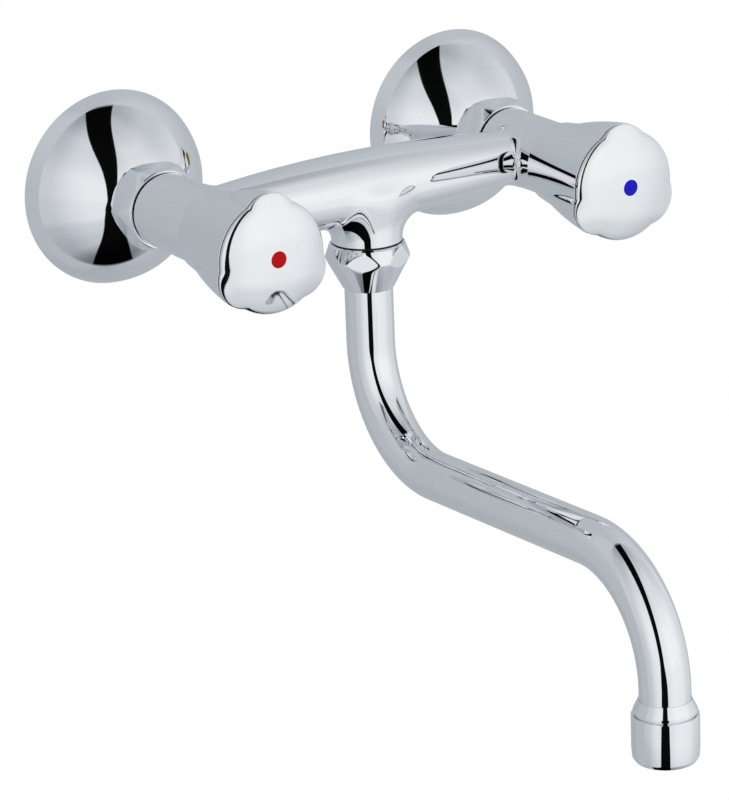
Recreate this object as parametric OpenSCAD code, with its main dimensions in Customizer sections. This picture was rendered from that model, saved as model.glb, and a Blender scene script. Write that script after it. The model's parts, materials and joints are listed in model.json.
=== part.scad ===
// Wall-mounted kitchen tap with two handles and a swivelling tube spout.
// It hangs on two eccentric wall unions. Water passes a seat in each barrel,
// mixes in the bridge between the barrels and leaves through the spout.
// Millimetres, +Z up. The wall is the plane y = 0 and the tap faces -Y.
// The origin lies in the wall plane, midway between the two wall threads.
// Along a barrel, sizes are counted as the distance from the wall.

/* [Wall unions] */
// Distance between the two inlets
inlet_pitch = 150; // [146:0.5:156]
// Outside diameter of the wall thread, G 1/2
stub_d = 20.955; // [20:0.005:22]
// Length of the wall thread behind the wall plane
stub_len = 14; // [10:0.5:20]
// Height of the wall thread's axis above the barrel's axis
union_offset = 8; // [5:0.5:9]
// Outside diameter of the union's tap thread, G 3/4
union_d = 26.44; // [26:0.02:27]
// Diameter of the union's slanted middle
union_mid_d = 23; // [21:0.5:24]
// Bore of the union at the wall
union_bore_d = 14; // [12:0.5:15]
// Bore of the union at the tap
union_mouth_d = 16; // [14:0.5:18]

/* [Wall plates] */
// Diameter of a wall plate
plate_d = 74.3; // [66:0.1:84]
// Distance from the wall to the plate's front
plate_depth = 28.4; // [26:0.1:32]
// Sheet thickness of the plate
plate_wall = 1.4; // [1:0.1:1.8]
// Width of the flat rim round the dome
plate_rim_w = 6; // [4:0.1:8]
// Height of the rim's front above the wall
plate_rim_h = 2.4; // [2:0.1:3.5]
// Outer radius of the plate's mouth
plate_mouth_r = 16.8; // [16:0.1:17.5]
// Bulge of the dome outside a straight cone
plate_bulge = 1.8; // [0.5:0.1:3]

/* [Union nuts] */
// Width across flats of a union nut
nut_af = 30; // [29.5:0.1:32]
// Length of a union nut
nut_len = 13; // [11:0.5:15]
// Thickness of the nut's retaining lip
nut_lip = 3; // [2:0.1:4]
// Chamfer at the nut's corners, along the axis
nut_chamfer = 2.2; // [1:0.1:3]
// Thickness of the inlet gasket
gasket_t = 2; // [1.5:0.1:3]
// Thickness of the tap's inlet flange
flange_t = 2; // [1.5:0.1:2.5]

/* [Body] */
// Diameter of a valve barrel
barrel_d = 28; // [27.5:0.1:30]
// Length of a valve barrel
barrel_len = 35.6; // [34:0.1:40]
// Distance from the wall to the axes of bridge and spout
bridge_from_wall = 58.8; // [58:0.1:60]
// Diameter of the bridge at its middle
bridge_mid_d = 27.5; // [26:0.1:28]
// Diameter of the bridge beside a barrel
bridge_end_d = 20.8; // [19:0.1:23]
// Length of the fairing from barrel to bridge
fairing_len = 4; // [2:0.5:12]
// Bore of the bridge
passage_d = 11; // [9:0.5:11.5]
// Bore of the inlet
inlet_bore_d = 15; // [13:0.5:16]
// Hole in the valve seat
seat_hole_d = 11; // [9:0.5:11.5]
// Diameter of the chamber above the seat
chamber_d = 19.2; // [18:0.1:20]
// Diameter of the spout boss
boss_d = 26.8; // [26.6:0.1:28]
// Distance from the bridge axis down to the boss's shoulder
boss_drop = 21; // [20:0.5:24]
// Radius of the hollow fillet between bridge and boss
boss_fillet_r = 7.5; // [5:0.5:9]

/* [Headworks] */
// Outside diameter of the headwork thread, M20 x 1
headwork_d = 20; // [19.6:0.1:20.3]
// Depth of the headwork in the barrel
headwork_depth = 13.5; // [12:0.5:14]
// Width across flats of the headwork
headwork_af = 22; // [20:0.5:23]
// Height of the headwork's hexagon
headwork_hex_h = 6; // [4:0.5:7]
// Diameter of the stem housing
housing_d = 16; // [14:0.5:17]
// Height of the stem housing above the barrel
housing_h = 15; // [13:0.5:17]
// Diameter of the spindle in its housing
spindle_d = 10; // [9:0.1:10.5]
// Diameter of the spindle's driving thread
drive_d = 8; // [7:0.1:8.5]
// Diameter of the valve plunger
plunger_d = 14.6; // [14:0.1:15]
// Travel of the plunger for one turn of the knob
thread_lead = 2.5; // [2:0.1:3]
// Turns of the knob from closed to open
open_turns = 1.5; // [1:0.1:1.6]
// Diameter of the valve washer
washer_d = 16; // [15:0.1:17]
// Thickness of the valve washer
washer_t = 3; // [2.5:0.1:4]
// Teeth round the spindle's end
spline_teeth = 20; // [16:2:24]

/* [Knobs] */
// Diameter of the knob beside the barrel
knob_base_d = 31; // [30:0.1:33]
// Diameter of the knob's front between the lobes
knob_front_d = 41.6; // [39:0.1:44]
// Length of the knob's skirt
knob_len = 39.4; // [38:0.1:44]
// Wall thickness of the skirt
knob_wall = 1.4; // [1.2:0.1:1.6]
// Radius over a lobe at the knob's front
lobe_reach = 23.3; // [22.4:0.1:24]
// Radius of a lobe's own curve at the front
lobe_r = 10.9; // [9:0.1:12]
// Distance from the skirt's base to the start of a lobe
lobe_start = 3.6; // [2:0.1:8]
// Swelling of a lobe's back outside a straight cone
lobe_bulge = 1.1; // [0.3:0.1:1.5]
// Height of the end cap above its edge
cap_rise = 5.3; // [4:0.1:7]
// Height of the seam between skirt and cap
seam_h = 1; // [0.6:0.1:1.4]
// Depth of the seam
seam_depth = 0.7; // [0.4:0.1:1]
// Diameter of the hot or cold mark
dot_d = 6; // [4:0.1:8]

/* [Spout] */
// Outside diameter of the spout tube
tube_d = 18.3; // [17:0.1:18.4]
// Wall thickness of the tube
tube_wall = 1; // [0.8:0.1:1.5]
// Distance from the bridge axis down to the first bend
tube_drop = 60; // [50:0.5:80]
// Radius of both bends, on the tube's axis
bend_r = 42.5; // [30:0.5:60]
// Angle of both bends
bend_angle = 92.7; // [80:0.1:100]
// Length of the straight run between the bends
run_len = 100.5; // [60:0.5:160]
// Length of tube below the second bend
tail_len = 7; // [6:0.5:20]

/* [Spout nut] */
// Width across flats of the spout nut
spout_nut_af = 29.4; // [29:0.1:30]
// Diameter at the nut's widest ridge
ridge_d = 31.8; // [31:0.1:33]
// Height from the ridge up to the nut's top
nut_top_h = 5.9; // [5:0.1:7]
// Height from the ridge down to the nut's foot
nut_foot_h = 12.2; // [10:0.1:15]
// Diameter of the nut's top edge
nut_top_d = 28; // [27.6:0.1:29]
// Turn of the nut's flats about the spout axis
spout_nut_turn = 7.3; // [0:0.1:60]

/* [Swivel end] */
// Wall thickness of the swivel sleeve
sleeve_wall = 1.2; // [1.15:0.05:1.3]
// Length of the sleeve inside the boss
sleeve_len = 19; // [18:0.5:19.5]
// Thickness of the sleeve's flange
sleeve_flange_t = 1.5; // [1:0.1:1.8]
// Thickness of the slip ring
slip_t = 1.4; // [1:0.1:1.6]
// Diameter of the O-ring sections
oring_t = 2; // [1.6:0.1:2]

/* [Outlet] */
// Diameter of the aerator housing
aerator_d = 24; // [23.6:0.1:26]
// Height of the aerator housing
aerator_h = 17.4; // [15:0.1:20]
// Diameter of the outlet thread, M22 x 1
outlet_thread_d = 21.8; // [21:0.1:22]
// Length of the outlet thread
outlet_thread_len = 5.5; // [5:0.5:6]
// Height of the collar's cone
collar_h = 5; // [4:0.1:8]
// Rings of holes in the aerator's grid
grid_rings = 4; // [2:1:4]

/* [Hidden] */

$fn = 96;
// Sides of a circle whose radius is many times the part of it that shows
wide_arc_fn = 1440;
// Height of the hardly visible bead where a straight and a bend of the spout join
weld = 0.03;
// Sides of the cap's wide sphere
dome_fn = 180;
// Overlap that makes a cut clean
cut = 0.5;
// Overlap of two shapes that are joined
lap = 1;
// Smallest rounding or chamfer of an edge
edge = 0.4;
// Running clearance of a turning or sliding fit, on the radius
run_fit = 0.06;
// Clearance of a thread or a loose fit, on the radius
loose_fit = 0.1;
// Gap between two faces that nearly touch
face_gap = 0.05;
// Gap that shows between plate and nut, and between barrel and knob
seat_gap = 0.3;
knob_gap = 0.4;
// Dark seam between union nut and barrel
barrel_gap = 0.7;

hot = -1;
cold = 1;

// Stations along a barrel, as distances from the wall
nut_back = plate_depth + seat_gap;
nut_front = nut_back + nut_len;
lip_back = nut_front - nut_lip;
flange_front = lip_back - face_gap;
flange_back = flange_front - flange_t;
union_end = flange_back - gasket_t;
barrel_back = nut_front + barrel_gap;
barrel_front = barrel_back + barrel_len;
inlet_spigot_r = union_d/2 - 2.2;
seat_clear = 1.3;
seat_rim_h = 1;
seat_rim_w = 1.5;
seat_wall = 2.5;
seat_top = bridge_from_wall - passage_d/2 - seat_clear;
seat_floor = seat_top - seat_rim_h;
seat_back = seat_floor - seat_wall;
headwork_end = barrel_front - headwork_depth;
hex_top = barrel_front + headwork_hex_h;
housing_top = barrel_front + housing_h;
seal_t = 1.5;
seal_w = 1.4;
guide_r = plunger_d/2 + run_fit;
guide_flat = 0.8;
guide_top = barrel_front + 1;
thrust_t = 2.4;
thrust_r = plunger_d/2 - 0.9;
thrust_back = guide_top - face_gap - thrust_t;
clip_t = 0.8;
clip_w = 1.6;
clip_depth = 1;
clip_back = housing_top + face_gap;
clip_front = clip_back + clip_t;
oring_stations = [hex_top - 1.5, hex_top + 3.5];
stroke = thread_lead*open_turns;
stroke_reserve = 1.7;
plunger_top = thrust_back - stroke - stroke_reserve;
cup_h = 4.3;
cup_lip = 1;
cup_wall = 0.6;
cup_back = seat_top + washer_t - cup_lip;
cup_front = cup_back + cup_h;
drive_back = headwork_end;
drive_reserve = 0.7;
plunger_bore_back = drive_back - stroke - drive_reserve;
washer_screw_r = 1.9;
washer_screw_len = 4.5;
washer_screw_head = 1.9;
washer_screw_head_r = seat_hole_d/2 - 2;

// Stations along a knob
knob_back = barrel_front + knob_gap;
knob_front = knob_back + knob_len;
hub_room = 1.2;
hub_back = clip_front + hub_room;
spline_len = 12;
spline_front = hub_back + spline_len;
web_t = 3;
web_room = 2;
web_back = spline_front + web_room;
web_front = web_back + web_t;
cap_edge = knob_front + seam_h;
cap_top = cap_edge + cap_rise;
cap_wall = 1.5;
cap_skirt_t = 1.5;
cap_skirt_inset = 1.2;
cap_skirt_r = knob_front_d/2 - knob_wall - cap_skirt_inset;
cap_skirt_fit = 0.2;
edge_round = 2.2;
edge_lip = 0.3;
dot_crown = 0.08;
screw_d = 4.9;
screw_head_d = 8.4;
screw_head_h = 2.8;
screw_len = 13;
screw_socket_h = 1.8;
hub_d = 13.6;
spline_tip_d = 9;
spline_root_d = 7.8;
dot_t = 1.1;
lobe_axis_front = lobe_reach - lobe_r;
lobe_axis_back = knob_base_d/2 - 0.6;
lobe_run = knob_len - lobe_start;
lobe_tilt = atan((lobe_axis_back - lobe_axis_front)/lobe_run);
lobe_tip_r = 0.3;
// Part of a lobe nearer to the knob's axis than this share is left out
lobe_share = 0.6;
// Directions of the three lobes, the first one up
lobe_turns = [90, 210, 330];

// Stations down the spout, counted from the bridge axis
thread_len = 5;
boss_gap = 0.1;
tube_fit = 0.15;
sleeve_play = 0.2;
spigot_end = boss_drop + thread_len;
ridge_drop = boss_drop + nut_top_h + boss_gap;
foot_drop = ridge_drop + nut_foot_h;
sleeve_top = spigot_end - sleeve_len;
flange_top = spigot_end + sleeve_play;
flange_end = flange_top + sleeve_flange_t;
slip_top = flange_end + face_gap;
slip_end = slip_top + slip_t;
shoulder = slip_end + face_gap;
spigot_d = union_d;
sleeve_d = tube_d + 2*sleeve_wall;
boss_bore_d = sleeve_d + 2*run_fit;
sleeve_flange_d = sleeve_d + 3.5;
sleeve_step = 0.5;
sleeve_rings = [-sleeve_top - 2, -sleeve_top - 6];
// Way from the sleeve's top down to the tube's end, past both O-rings
ring_room = 8;
tube_top = sleeve_top + ring_room;

// The bends of the spout, in the plane of side view: x is reach, y is height
p1 = [0, -tube_drop];
p2 = p1 + bend_r*[1 - cos(bend_angle), -sin(bend_angle)];
p3 = p2 + run_len*[sin(bend_angle), -cos(bend_angle)];
p4 = p3 + bend_r*[1 - cos(bend_angle), -sin(bend_angle)];
p5 = p4 + [0, -tail_len];
reach = p4[0];
collar_seat = 0.6;
collar_foot = p5[1] - collar_seat;
collar_top = collar_foot + collar_h;
collar_top_d = tube_d + 0.4;
collar_edge = 0.8;
collar_inset = 0.7;
thread_foot = collar_foot - outlet_thread_len;
collar_seam = 0.4;
aerator_top = collar_foot - collar_seam;
aerator_foot = aerator_top - aerator_h;
aerator_gasket_t = 1.5;
gasket_foot = thread_foot - face_gap - aerator_gasket_t;
lip_h = 1.5;
lip_w = 0.7;
insert_r = outlet_thread_d/2 - 0.9;
insert_wall = 1.2;
insert_plate = 1.6;
grid_pitch = 2.3;
grid_hole_d = 1.7;
top_hole_d = 1;
aerator_round = 1.5;

// Arc as a list of points, about centre c with radius r, from angle a to angle b
function arc(c, r, a, b, n) = [for (i = [0:n]) c + r*[cos(a + (b - a)*i/n), sin(a + (b - a)*i/n)]];

// Arc through p and q that bulges to the right of the way from p to q by the given sagitta
function bulge(p, q, s, n) = let (
        d = q - p,
        l = norm(d),
        u = d/l,
        side = [u[1], -u[0]],
        r = (l*l/4 + s*s)/(2*s),
        h = asin(l/2/r))
    [for (i = [0:n]) let (t = h*(2*i/n - 1)) (p + q)/2 + u*r*sin(t) + side*(r*cos(t) - r + s)];

// Puts a shape on the axis of one barrel: its z axis then runs out from the wall
module at_barrel(side) {
    translate([side*inlet_pitch/2, 0, -union_offset]) rotate([90, 0, 0]) children();
}

// Puts a shape on the spout's axis, with its origin at the bridge axis
module at_spout() {
    translate([0, -bridge_from_wall, -union_offset]) children();
}

// Flat ring between two radii and two stations
module ring(r_in, r_out, from, to) {
    rotate_extrude() translate([r_in, from]) square([r_out - r_in, to - from]);
}

// Solid rod between two stations
module rod(r, from, to) {
    translate([0, 0, from]) cylinder(r = r, h = to - from);
}

// Hexagonal bar between two stations
module hex_bar(af, from, to) {
    translate([0, 0, from]) cylinder(d = af/cos(30), h = to - from, $fn = 6);
}

// O-ring of the oring_t section whose outside has radius r
module oring(r, at) {
    translate([0, 0, at]) rotate_extrude() translate([r - oring_t/2, 0]) circle(d = oring_t);
}

// Groove for such a ring, open to radius r
module oring_groove(r, at) {
    ring(r - oring_t - face_gap, r + cut, at - oring_t*0.6, at + oring_t*0.6);
}

// Eccentric union: wall thread, slanted middle, tap thread, with a bore right through
module s_union(side) {
    wall_seat = 0.5;
    collar_w = 1;
    collar_end = 6;
    slant_from = 4;
    slant_to = 16;
    bore_step = 0.2;
    bore_over = 3;
    slant = atan(union_offset/(slant_to - slant_from));
    slant_len = norm([union_offset, slant_to - slant_from]);
    thread_from = slant_to - bore_over;
    color("silver") at_barrel(side) difference() {
        union() {
            translate([0, union_offset, 0]) rod(stub_d/2, -stub_len, collar_end - lap);
            translate([0, union_offset, 0]) rod(union_mid_d/2 + collar_w, wall_seat, collar_end);
            intersection() {
                translate([0, union_offset, slant_from]) rotate([slant, 0, 0])
                    cylinder(d = union_mid_d, h = slant_len);
                rod(plate_d/2, wall_seat, union_end);
            }
            rod(union_d/2, thread_from, union_end);
        }
        translate([0, union_offset, 0]) rod(union_bore_d/2, -stub_len - cut, slant_from);
        translate([0, union_offset, slant_from]) rotate([slant, 0, 0])
            translate([0, 0, -bore_over]) cylinder(d = union_bore_d - bore_step, h = slant_len + 2*bore_over);
        rod(union_mouth_d/2, slant_to - lap, union_end + cut);
    }
}

// Share of the sheet's thickness that shows across a slanted wall of the plate
plate_slant = 0.6;
plate_neck_w = 1.2;
plate_neck_h = 1.4;
plate_edge_r = 1;

// Outline of a wall plate's outside, from the rim to the mouth
function plate_skin(inset) = let (
        rim_r = plate_d/2 - inset,
        slanted = inset*plate_slant,
        crease = [plate_d/2 - plate_rim_w - inset, plate_rim_h - slanted],
        neck = [plate_mouth_r + plate_neck_w - slanted, plate_depth - plate_neck_h - inset],
        rim_arc = [rim_r - plate_edge_r, plate_rim_h - edge - plate_edge_r - slanted],
        dome = bulge(crease, neck, plate_bulge, 10))
    concat([[rim_r, 0]], arc(rim_arc, plate_edge_r, 0, 90, 4), dome);

// Pressed wall plate: flat rim, domed bell and a mouth that the union nut holds
module wall_plate(side) {
    mouth_r = union_d/2 + edge;
    outer = plate_skin(0);
    inner = plate_skin(plate_wall);
    color("gainsboro") at_barrel(side) rotate_extrude() polygon(concat(
        outer,
        [[plate_mouth_r, plate_depth], [mouth_r, plate_depth], [mouth_r, plate_depth - plate_wall]],
        [for (i = [len(inner) - 1:-1:1]) inner[i]],
        [[plate_d/2 - plate_wall, 0]]));
}

// Union nut: hexagon with turned corners, a thread bore and a lip behind the flange
module union_nut(side) {
    corner_r = nut_af/2/cos(30);
    turned_r = nut_af/2 - 2*loose_fit;
    lip_hole_r = inlet_spigot_r + 2*loose_fit;
    front_chamfer = nut_chamfer*1.6;
    color("silver") at_barrel(side) difference() {
        intersection() {
            hex_bar(nut_af, nut_back, nut_front);
            rotate_extrude() polygon([
                [0, nut_back], [corner_r - nut_chamfer/2, nut_back], [corner_r, nut_back + nut_chamfer/2],
                [corner_r, nut_front - front_chamfer], [turned_r, nut_front - edge],
                [turned_r - edge, nut_front], [0, nut_front]]);
        }
        rod(union_d/2 + loose_fit, nut_back - cut, lip_back);
        rod(lip_hole_r, lip_back - cut, nut_front + cut);
    }
}

// Flat gasket between the union and the tap's inlet flange
module inlet_gasket(side) {
    color("dimgray") at_barrel(side)
        ring(union_mouth_d/2 + seat_gap, union_d/2 - seat_gap, union_end, flange_back);
}

// Outside of the body: barrels, bridge, fairings, boss
module body_skin() {
    barrel_r = barrel_d/2;
    half_span = inlet_pitch/2 - barrel_r;
    sag = (bridge_mid_d - bridge_end_d)/2;
    arc_r = (half_span*half_span + sag*sag)/(2*sag);
    mid_r = bridge_mid_d/2;
    fair_x = half_span - fairing_len;
    fair_r = mid_r - arc_r + sqrt(arc_r*arc_r - fair_x*fair_x) - loose_fit;
    root = barrel_r*0.3;
    back_edge = 0.6;
    for (side = [hot, cold]) {
        at_barrel(side) {
            rotate_extrude() polygon([
                [0, barrel_back], [barrel_r - back_edge, barrel_back], [barrel_r, barrel_back + back_edge],
                [barrel_r, barrel_front - edge], [barrel_r - edge, barrel_front], [0, barrel_front]]);
            rod(inlet_spigot_r, flange_back + cut, barrel_back + lap);
            rod(union_d/2 - seat_gap, flange_back, flange_front);
        }
        at_spout() translate([side*fair_x, 0, 0]) rotate([0, side*90, 0])
            cylinder(r1 = fair_r, r2 = barrel_r - lap, h = fairing_len + barrel_r - root);
    }
    at_spout() {
        rotate([0, 90, 0]) rotate_extrude() intersection() {
            translate([mid_r - arc_r, 0]) circle(r = arc_r, $fn = wide_arc_fn);
            translate([0, -inlet_pitch/2]) square([mid_r + lap, inlet_pitch]);
        }
        rod(boss_d/2, -boss_drop, 0);
        rod(spigot_d/2, -spigot_end, -boss_drop + lap);
        boss_flare();
    }
}

// Hollow fillet on both sides of the boss: an arched profile, cut to a round section
module boss_flare() {
    foot = -bridge_mid_d/2 - boss_fillet_r*0.6;
    // Insets that keep the fillet's surfaces clear of the boss's own
    start = boss_d/2 - 0.25;
    web_r = boss_d/2 - 0.6;
    intersection() {
        rotate([90, 0, 0]) linear_extrude(height = boss_d, center = true) difference() {
            translate([-start - boss_fillet_r, foot]) square([2*(start + boss_fillet_r), -foot - lap]);
            for (s = [-1, 1]) translate([s*(start + boss_fillet_r), foot]) circle(r = boss_fillet_r);
        }
        translate([0, 0, foot + web_r]) rotate([0, 90, 0])
            cylinder(r = web_r, h = 2*(start + boss_fillet_r + lap), center = true);
    }
}

// Water ways and seats inside the body
module body_ways() {
    for (side = [hot, cold]) at_barrel(side) {
        rod(inlet_bore_d/2, flange_back - cut, seat_back);
        rod(seat_hole_d/2, seat_back - cut, seat_top + cut);
        difference() {
            rod(chamber_d/2, seat_floor, headwork_end + cut);
            ring(seat_hole_d/2, seat_hole_d/2 + seat_rim_w, seat_floor - cut, seat_top);
        }
        rod(headwork_d/2 + loose_fit, headwork_end, barrel_front + cut);
        rod(headwork_d/2 + seal_w, barrel_front - seal_t, barrel_front + cut);
    }
    at_spout() {
        rotate([0, 90, 0]) cylinder(d = passage_d, h = inlet_pitch - chamber_d/2, center = true);
        rod(passage_d/2 + lap, -sleeve_top - lap, 0);
        rod(boss_bore_d/2, -spigot_end - cut, -sleeve_top + lap);
    }
}

// Cast body with its seats, water ways and the thread for the spout nut
module body() {
    color("gainsboro") difference() {
        body_skin();
        body_ways();
    }
}

// Headwork: screwed into the barrel, it guides plunger and spindle
module headwork(side) {
    flat = plunger_d/2 - guide_flat + run_fit;
    color("goldenrod") at_barrel(side) difference() {
        union() {
            rod(headwork_d/2, headwork_end, barrel_front + lap);
            hex_bar(headwork_af, barrel_front, hex_top);
            rod(housing_d/2, hex_top - lap, housing_top);
        }
        intersection() {
            rod(guide_r, headwork_end - cut, guide_top);
            translate([-flat, -plunger_d, headwork_end - lap]) cube([2*flat, 2*plunger_d, headwork_depth]);
        }
        rod(thrust_r + run_fit, thrust_back - lap, guide_top);
        rod(spindle_d/2 + run_fit, guide_top - cut, housing_top + cut);
    }
}

// Fibre ring under the headwork's hexagon
module headwork_seal(side) {
    color("firebrick") at_barrel(side)
        ring(headwork_d/2 + face_gap, headwork_d/2 + seal_w - face_gap, barrel_front - seal_t,
            barrel_front - face_gap);
}

// Outline of the toothed end, smaller by the given inset
module spline_outline(inset) {
    tip = spline_tip_d/2 - inset;
    root = spline_root_d/2 - inset;
    polygon([for (i = [0:2*spline_teeth - 1]) let (a = 180*i/spline_teeth, r = i % 2 == 0 ? tip : root)
        r*[cos(a), sin(a)]]);
}

// Spindle: driving thread, thrust collar, sealed neck and toothed end
module spindle(side) {
    r = spindle_d/2;
    color("darkgoldenrod") at_barrel(side) difference() {
        union() {
            rod(drive_d/2, drive_back, thrust_back + lap);
            rod(thrust_r, thrust_back, guide_top - face_gap);
            rod(r, thrust_back, hub_back);
            translate([0, 0, hub_back - lap]) linear_extrude(height = spline_len + lap/2)
                spline_outline(run_fit);
        }
        for (at = oring_stations) oring_groove(r, at);
        ring(r - clip_depth, r + cut, clip_back, clip_front);
        rod(screw_d/2 + face_gap, spline_front - screw_len, spline_front + cut);
    }
}

// Two O-rings that seal the spindle's neck
module spindle_orings(side) {
    color("black") at_barrel(side) for (at = oring_stations) oring(spindle_d/2, at);
}

// Open clip that keeps the spindle in its housing
module spindle_clip(side) {
    r = spindle_d/2;
    mouth = spindle_d*0.7;
    color("slategray") at_barrel(side) difference() {
        ring(r - clip_depth + face_gap, r + clip_w, clip_back, clip_front);
        translate([0, -mouth/2, clip_back - cut]) cube([2*spindle_d, mouth, clip_t + 2*cut]);
    }
}

// Plunger with two guide flats, a threaded bore and a cup for the washer
module plunger(side) {
    flat = plunger_d/2 - guide_flat;
    color("peru") at_barrel(side) difference() {
        union() {
            intersection() {
                rod(plunger_d/2, cup_front - lap, plunger_top);
                translate([-flat, -plunger_d, cup_front - 2*lap])
                    cube([2*flat, 2*plunger_d, plunger_top - cup_front + 3*lap]);
            }
            rod(washer_d/2 + cup_wall, cup_back, cup_front);
        }
        rod(washer_d/2 + face_gap, cup_back - cut, cup_back + cup_lip);
        rod(drive_d/2 + run_fit, plunger_bore_back, plunger_top + cut);
        rod(washer_screw_r + face_gap, cup_back, cup_back + washer_screw_len + cut);
    }
}

// Rubber washer that closes on the seat
module valve_washer(side) {
    color("dimgray") at_barrel(side)
        ring(washer_screw_r + face_gap, washer_d/2, seat_top, seat_top + washer_t);
}

// Screw that holds the washer to the plunger
module washer_screw(side) {
    color("gold") at_barrel(side) {
        rod(washer_screw_head_r, seat_top - washer_screw_head, seat_top);
        rod(washer_screw_r, seat_top - lap/2, cup_back + washer_screw_len);
    }
}

// Outer radius of the plain skirt at a station
function skirt_r(w) = knob_base_d/2 + (knob_front_d - knob_base_d)/2*(w - knob_back)/knob_len;

// Keeps what lies far enough out that neighbouring lobes stay apart
module outer_half(from, to) {
    intersection() {
        children();
        translate([lobe_axis_front*lobe_share, -lobe_reach, from])
            cube([lobe_reach, 2*lobe_reach, to - from]);
    }
}

// One lobe: a slim ogive that leans in towards the knob's axis
module lobe() {
    s_front = lobe_run/cos(lobe_tilt);
    back = bulge([lobe_r, s_front], [lobe_tip_r, 0], -lobe_bulge, 8);
    translate([lobe_axis_back, 0, knob_back + lobe_start]) rotate([0, -lobe_tilt, 0]) rotate_extrude()
        polygon(concat([[0, 0]], [for (i = [len(back) - 1:-1:0]) back[i]],
            [[lobe_r, s_front + 2*lap], [0, s_front + 2*lap]]));
}

// Knob: flaring skirt with three lobes, a web, and a hub that fits the spindle's teeth
module knob(side) {
    inner_back = knob_base_d/2 - knob_wall;
    inner_web = skirt_r(web_back) - knob_wall - cap_skirt_inset/2;
    front_edge = 0.5;
    lobe_lip = 0.3;
    color("gainsboro") at_barrel(side) difference() {
        union() {
            difference() {
                union() {
                    rotate_extrude() polygon([
                        [0, knob_back], [knob_base_d/2 - edge, knob_back],
                        [skirt_r(knob_back + edge), knob_back + edge],
                        [skirt_r(knob_front - front_edge), knob_front - front_edge],
                        [knob_front_d/2 - front_edge, knob_front], [0, knob_front]]);
                    intersection() {
                        for (a = lobe_turns) rotate(a) outer_half(knob_back, knob_front + lap) lobe();
                        rod(2*lobe_reach, knob_back, knob_front - lobe_lip);
                    }
                }
                rotate_extrude() polygon([
                    [0, knob_back - cut], [inner_back, knob_back - cut], [inner_back, knob_back + lap],
                    [inner_web, web_back], [0, web_back]]);
                rod(cap_skirt_r + cap_skirt_fit, web_front, knob_front + cut);
            }
            rod(hub_d/2, hub_back, web_back + lap);
        }
        translate([0, 0, hub_back - cut]) linear_extrude(height = spline_len + cut) spline_outline(0);
        rod(screw_d/2 + loose_fit, spline_front - lap, web_front + cut);
    }
}

// Screw through the web into the spindle's end
module knob_screw(side) {
    color("slategray") at_barrel(side) difference() {
        union() {
            rod(screw_d/2, spline_front - screw_len + lap, web_front + lap);
            rod(screw_head_d/2, web_front, web_front + screw_head_h);
        }
        hex_bar(screw_d*0.6, web_front + screw_head_h - screw_socket_h, web_front + screw_head_h + cut);
    }
}

// Round disc whose front edge is rolled over, the cap's outline is made of four of them
module rolled_disc(r) {
    rotate_extrude() {
        translate([0, cap_edge]) square([r, edge_lip]);
        translate([0, cap_edge]) square([r - edge_round, edge_lip + edge_round]);
        intersection() {
            translate([r - edge_round, cap_edge + edge_lip]) circle(r = edge_round);
            translate([0, cap_edge + edge_lip/2]) square([r + lap, edge_round*2]);
        }
    }
}

// Outline of the cap, smaller by the given inset
module cap_outline(inset) {
    circle(r = knob_front_d/2 - inset);
    for (a = lobe_turns) rotate(a) translate([lobe_axis_front, 0]) circle(r = lobe_r - inset);
}

// Domed end cap with its seam and the ring that snaps into the knob
module knob_cap(side) {
    dome_foot = knob_front_d/2 - edge_round*0.8;
    dome_drop = cap_rise - edge_lip - edge_round;
    dome_r = (dome_foot*dome_foot + dome_drop*dome_drop)/(2*dome_drop);
    snap_back = web_front + 1;
    dome_lap = 0.1;
    color("gainsboro") at_barrel(side) difference() {
        union() {
            rolled_disc(knob_front_d/2);
            for (a = lobe_turns) rotate(a) outer_half(cap_edge - lap, cap_top + lap)
                translate([lobe_axis_front, 0, 0]) rolled_disc(lobe_r);
            intersection() {
                rod(dome_foot + dome_lap, cap_edge + lap/2, cap_top + lap);
                translate([0, 0, cap_top - dome_r]) sphere(r = dome_r, $fn = dome_fn);
            }
            translate([0, 0, knob_front + face_gap]) linear_extrude(height = seam_h) cap_outline(seam_depth);
            ring(cap_skirt_r - cap_skirt_t, cap_skirt_r, snap_back, cap_edge + lap/2);
        }
        intersection() {
            rod(cap_skirt_r - cap_skirt_t, snap_back - cut, cap_top);
            translate([0, 0, cap_top - dome_r - cap_wall - dot_t]) sphere(r = dome_r, $fn = dome_fn);
        }
        rod(dot_d/2 + face_gap, cap_top - dot_t, cap_top + lap);
    }
}

// Coloured mark set flush in the cap, a shallow dome like the cap's
module dot(side, paint) {
    color(paint) at_barrel(side) rotate_extrude()
        polygon([[0, cap_top - dot_t + face_gap], [dot_d/2, cap_top - dot_t + face_gap],
            [dot_d/2, cap_top - dot_crown], [dot_d/4, cap_top - dot_crown/4], [0, cap_top]]);
}

// Spout nut: two cones meet at a ridge that six flats cut into almond shapes
module spout_nut() {
    foot_r = tube_d/2 + tube_fit + 0.3;
    top_edge = 0.5;
    color("silver") at_spout() difference() {
        intersection() {
            rotate(spout_nut_turn) hex_bar(spout_nut_af, -foot_drop - cut, -ridge_drop + nut_top_h + cut);
            rotate_extrude() polygon([
                [0, -foot_drop], [foot_r, -foot_drop], [foot_r + edge, -foot_drop + edge],
                [ridge_d/2, -ridge_drop], [nut_top_d/2, -ridge_drop + nut_top_h - top_edge],
                [nut_top_d/2 - edge, -ridge_drop + nut_top_h], [0, -ridge_drop + nut_top_h]]);
        }
        rod(spigot_d/2 + loose_fit, -shoulder, -boss_drop + cut);
        rod(tube_d/2 + tube_fit, -foot_drop - cut, -shoulder + cut);
    }
}

// Plastic ring that the sleeve's flange turns on
module slip_ring() {
    color("ivory") at_spout() ring(tube_d/2 + tube_fit, spigot_d/2 - loose_fit, -slip_end, -slip_top);
}

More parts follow.
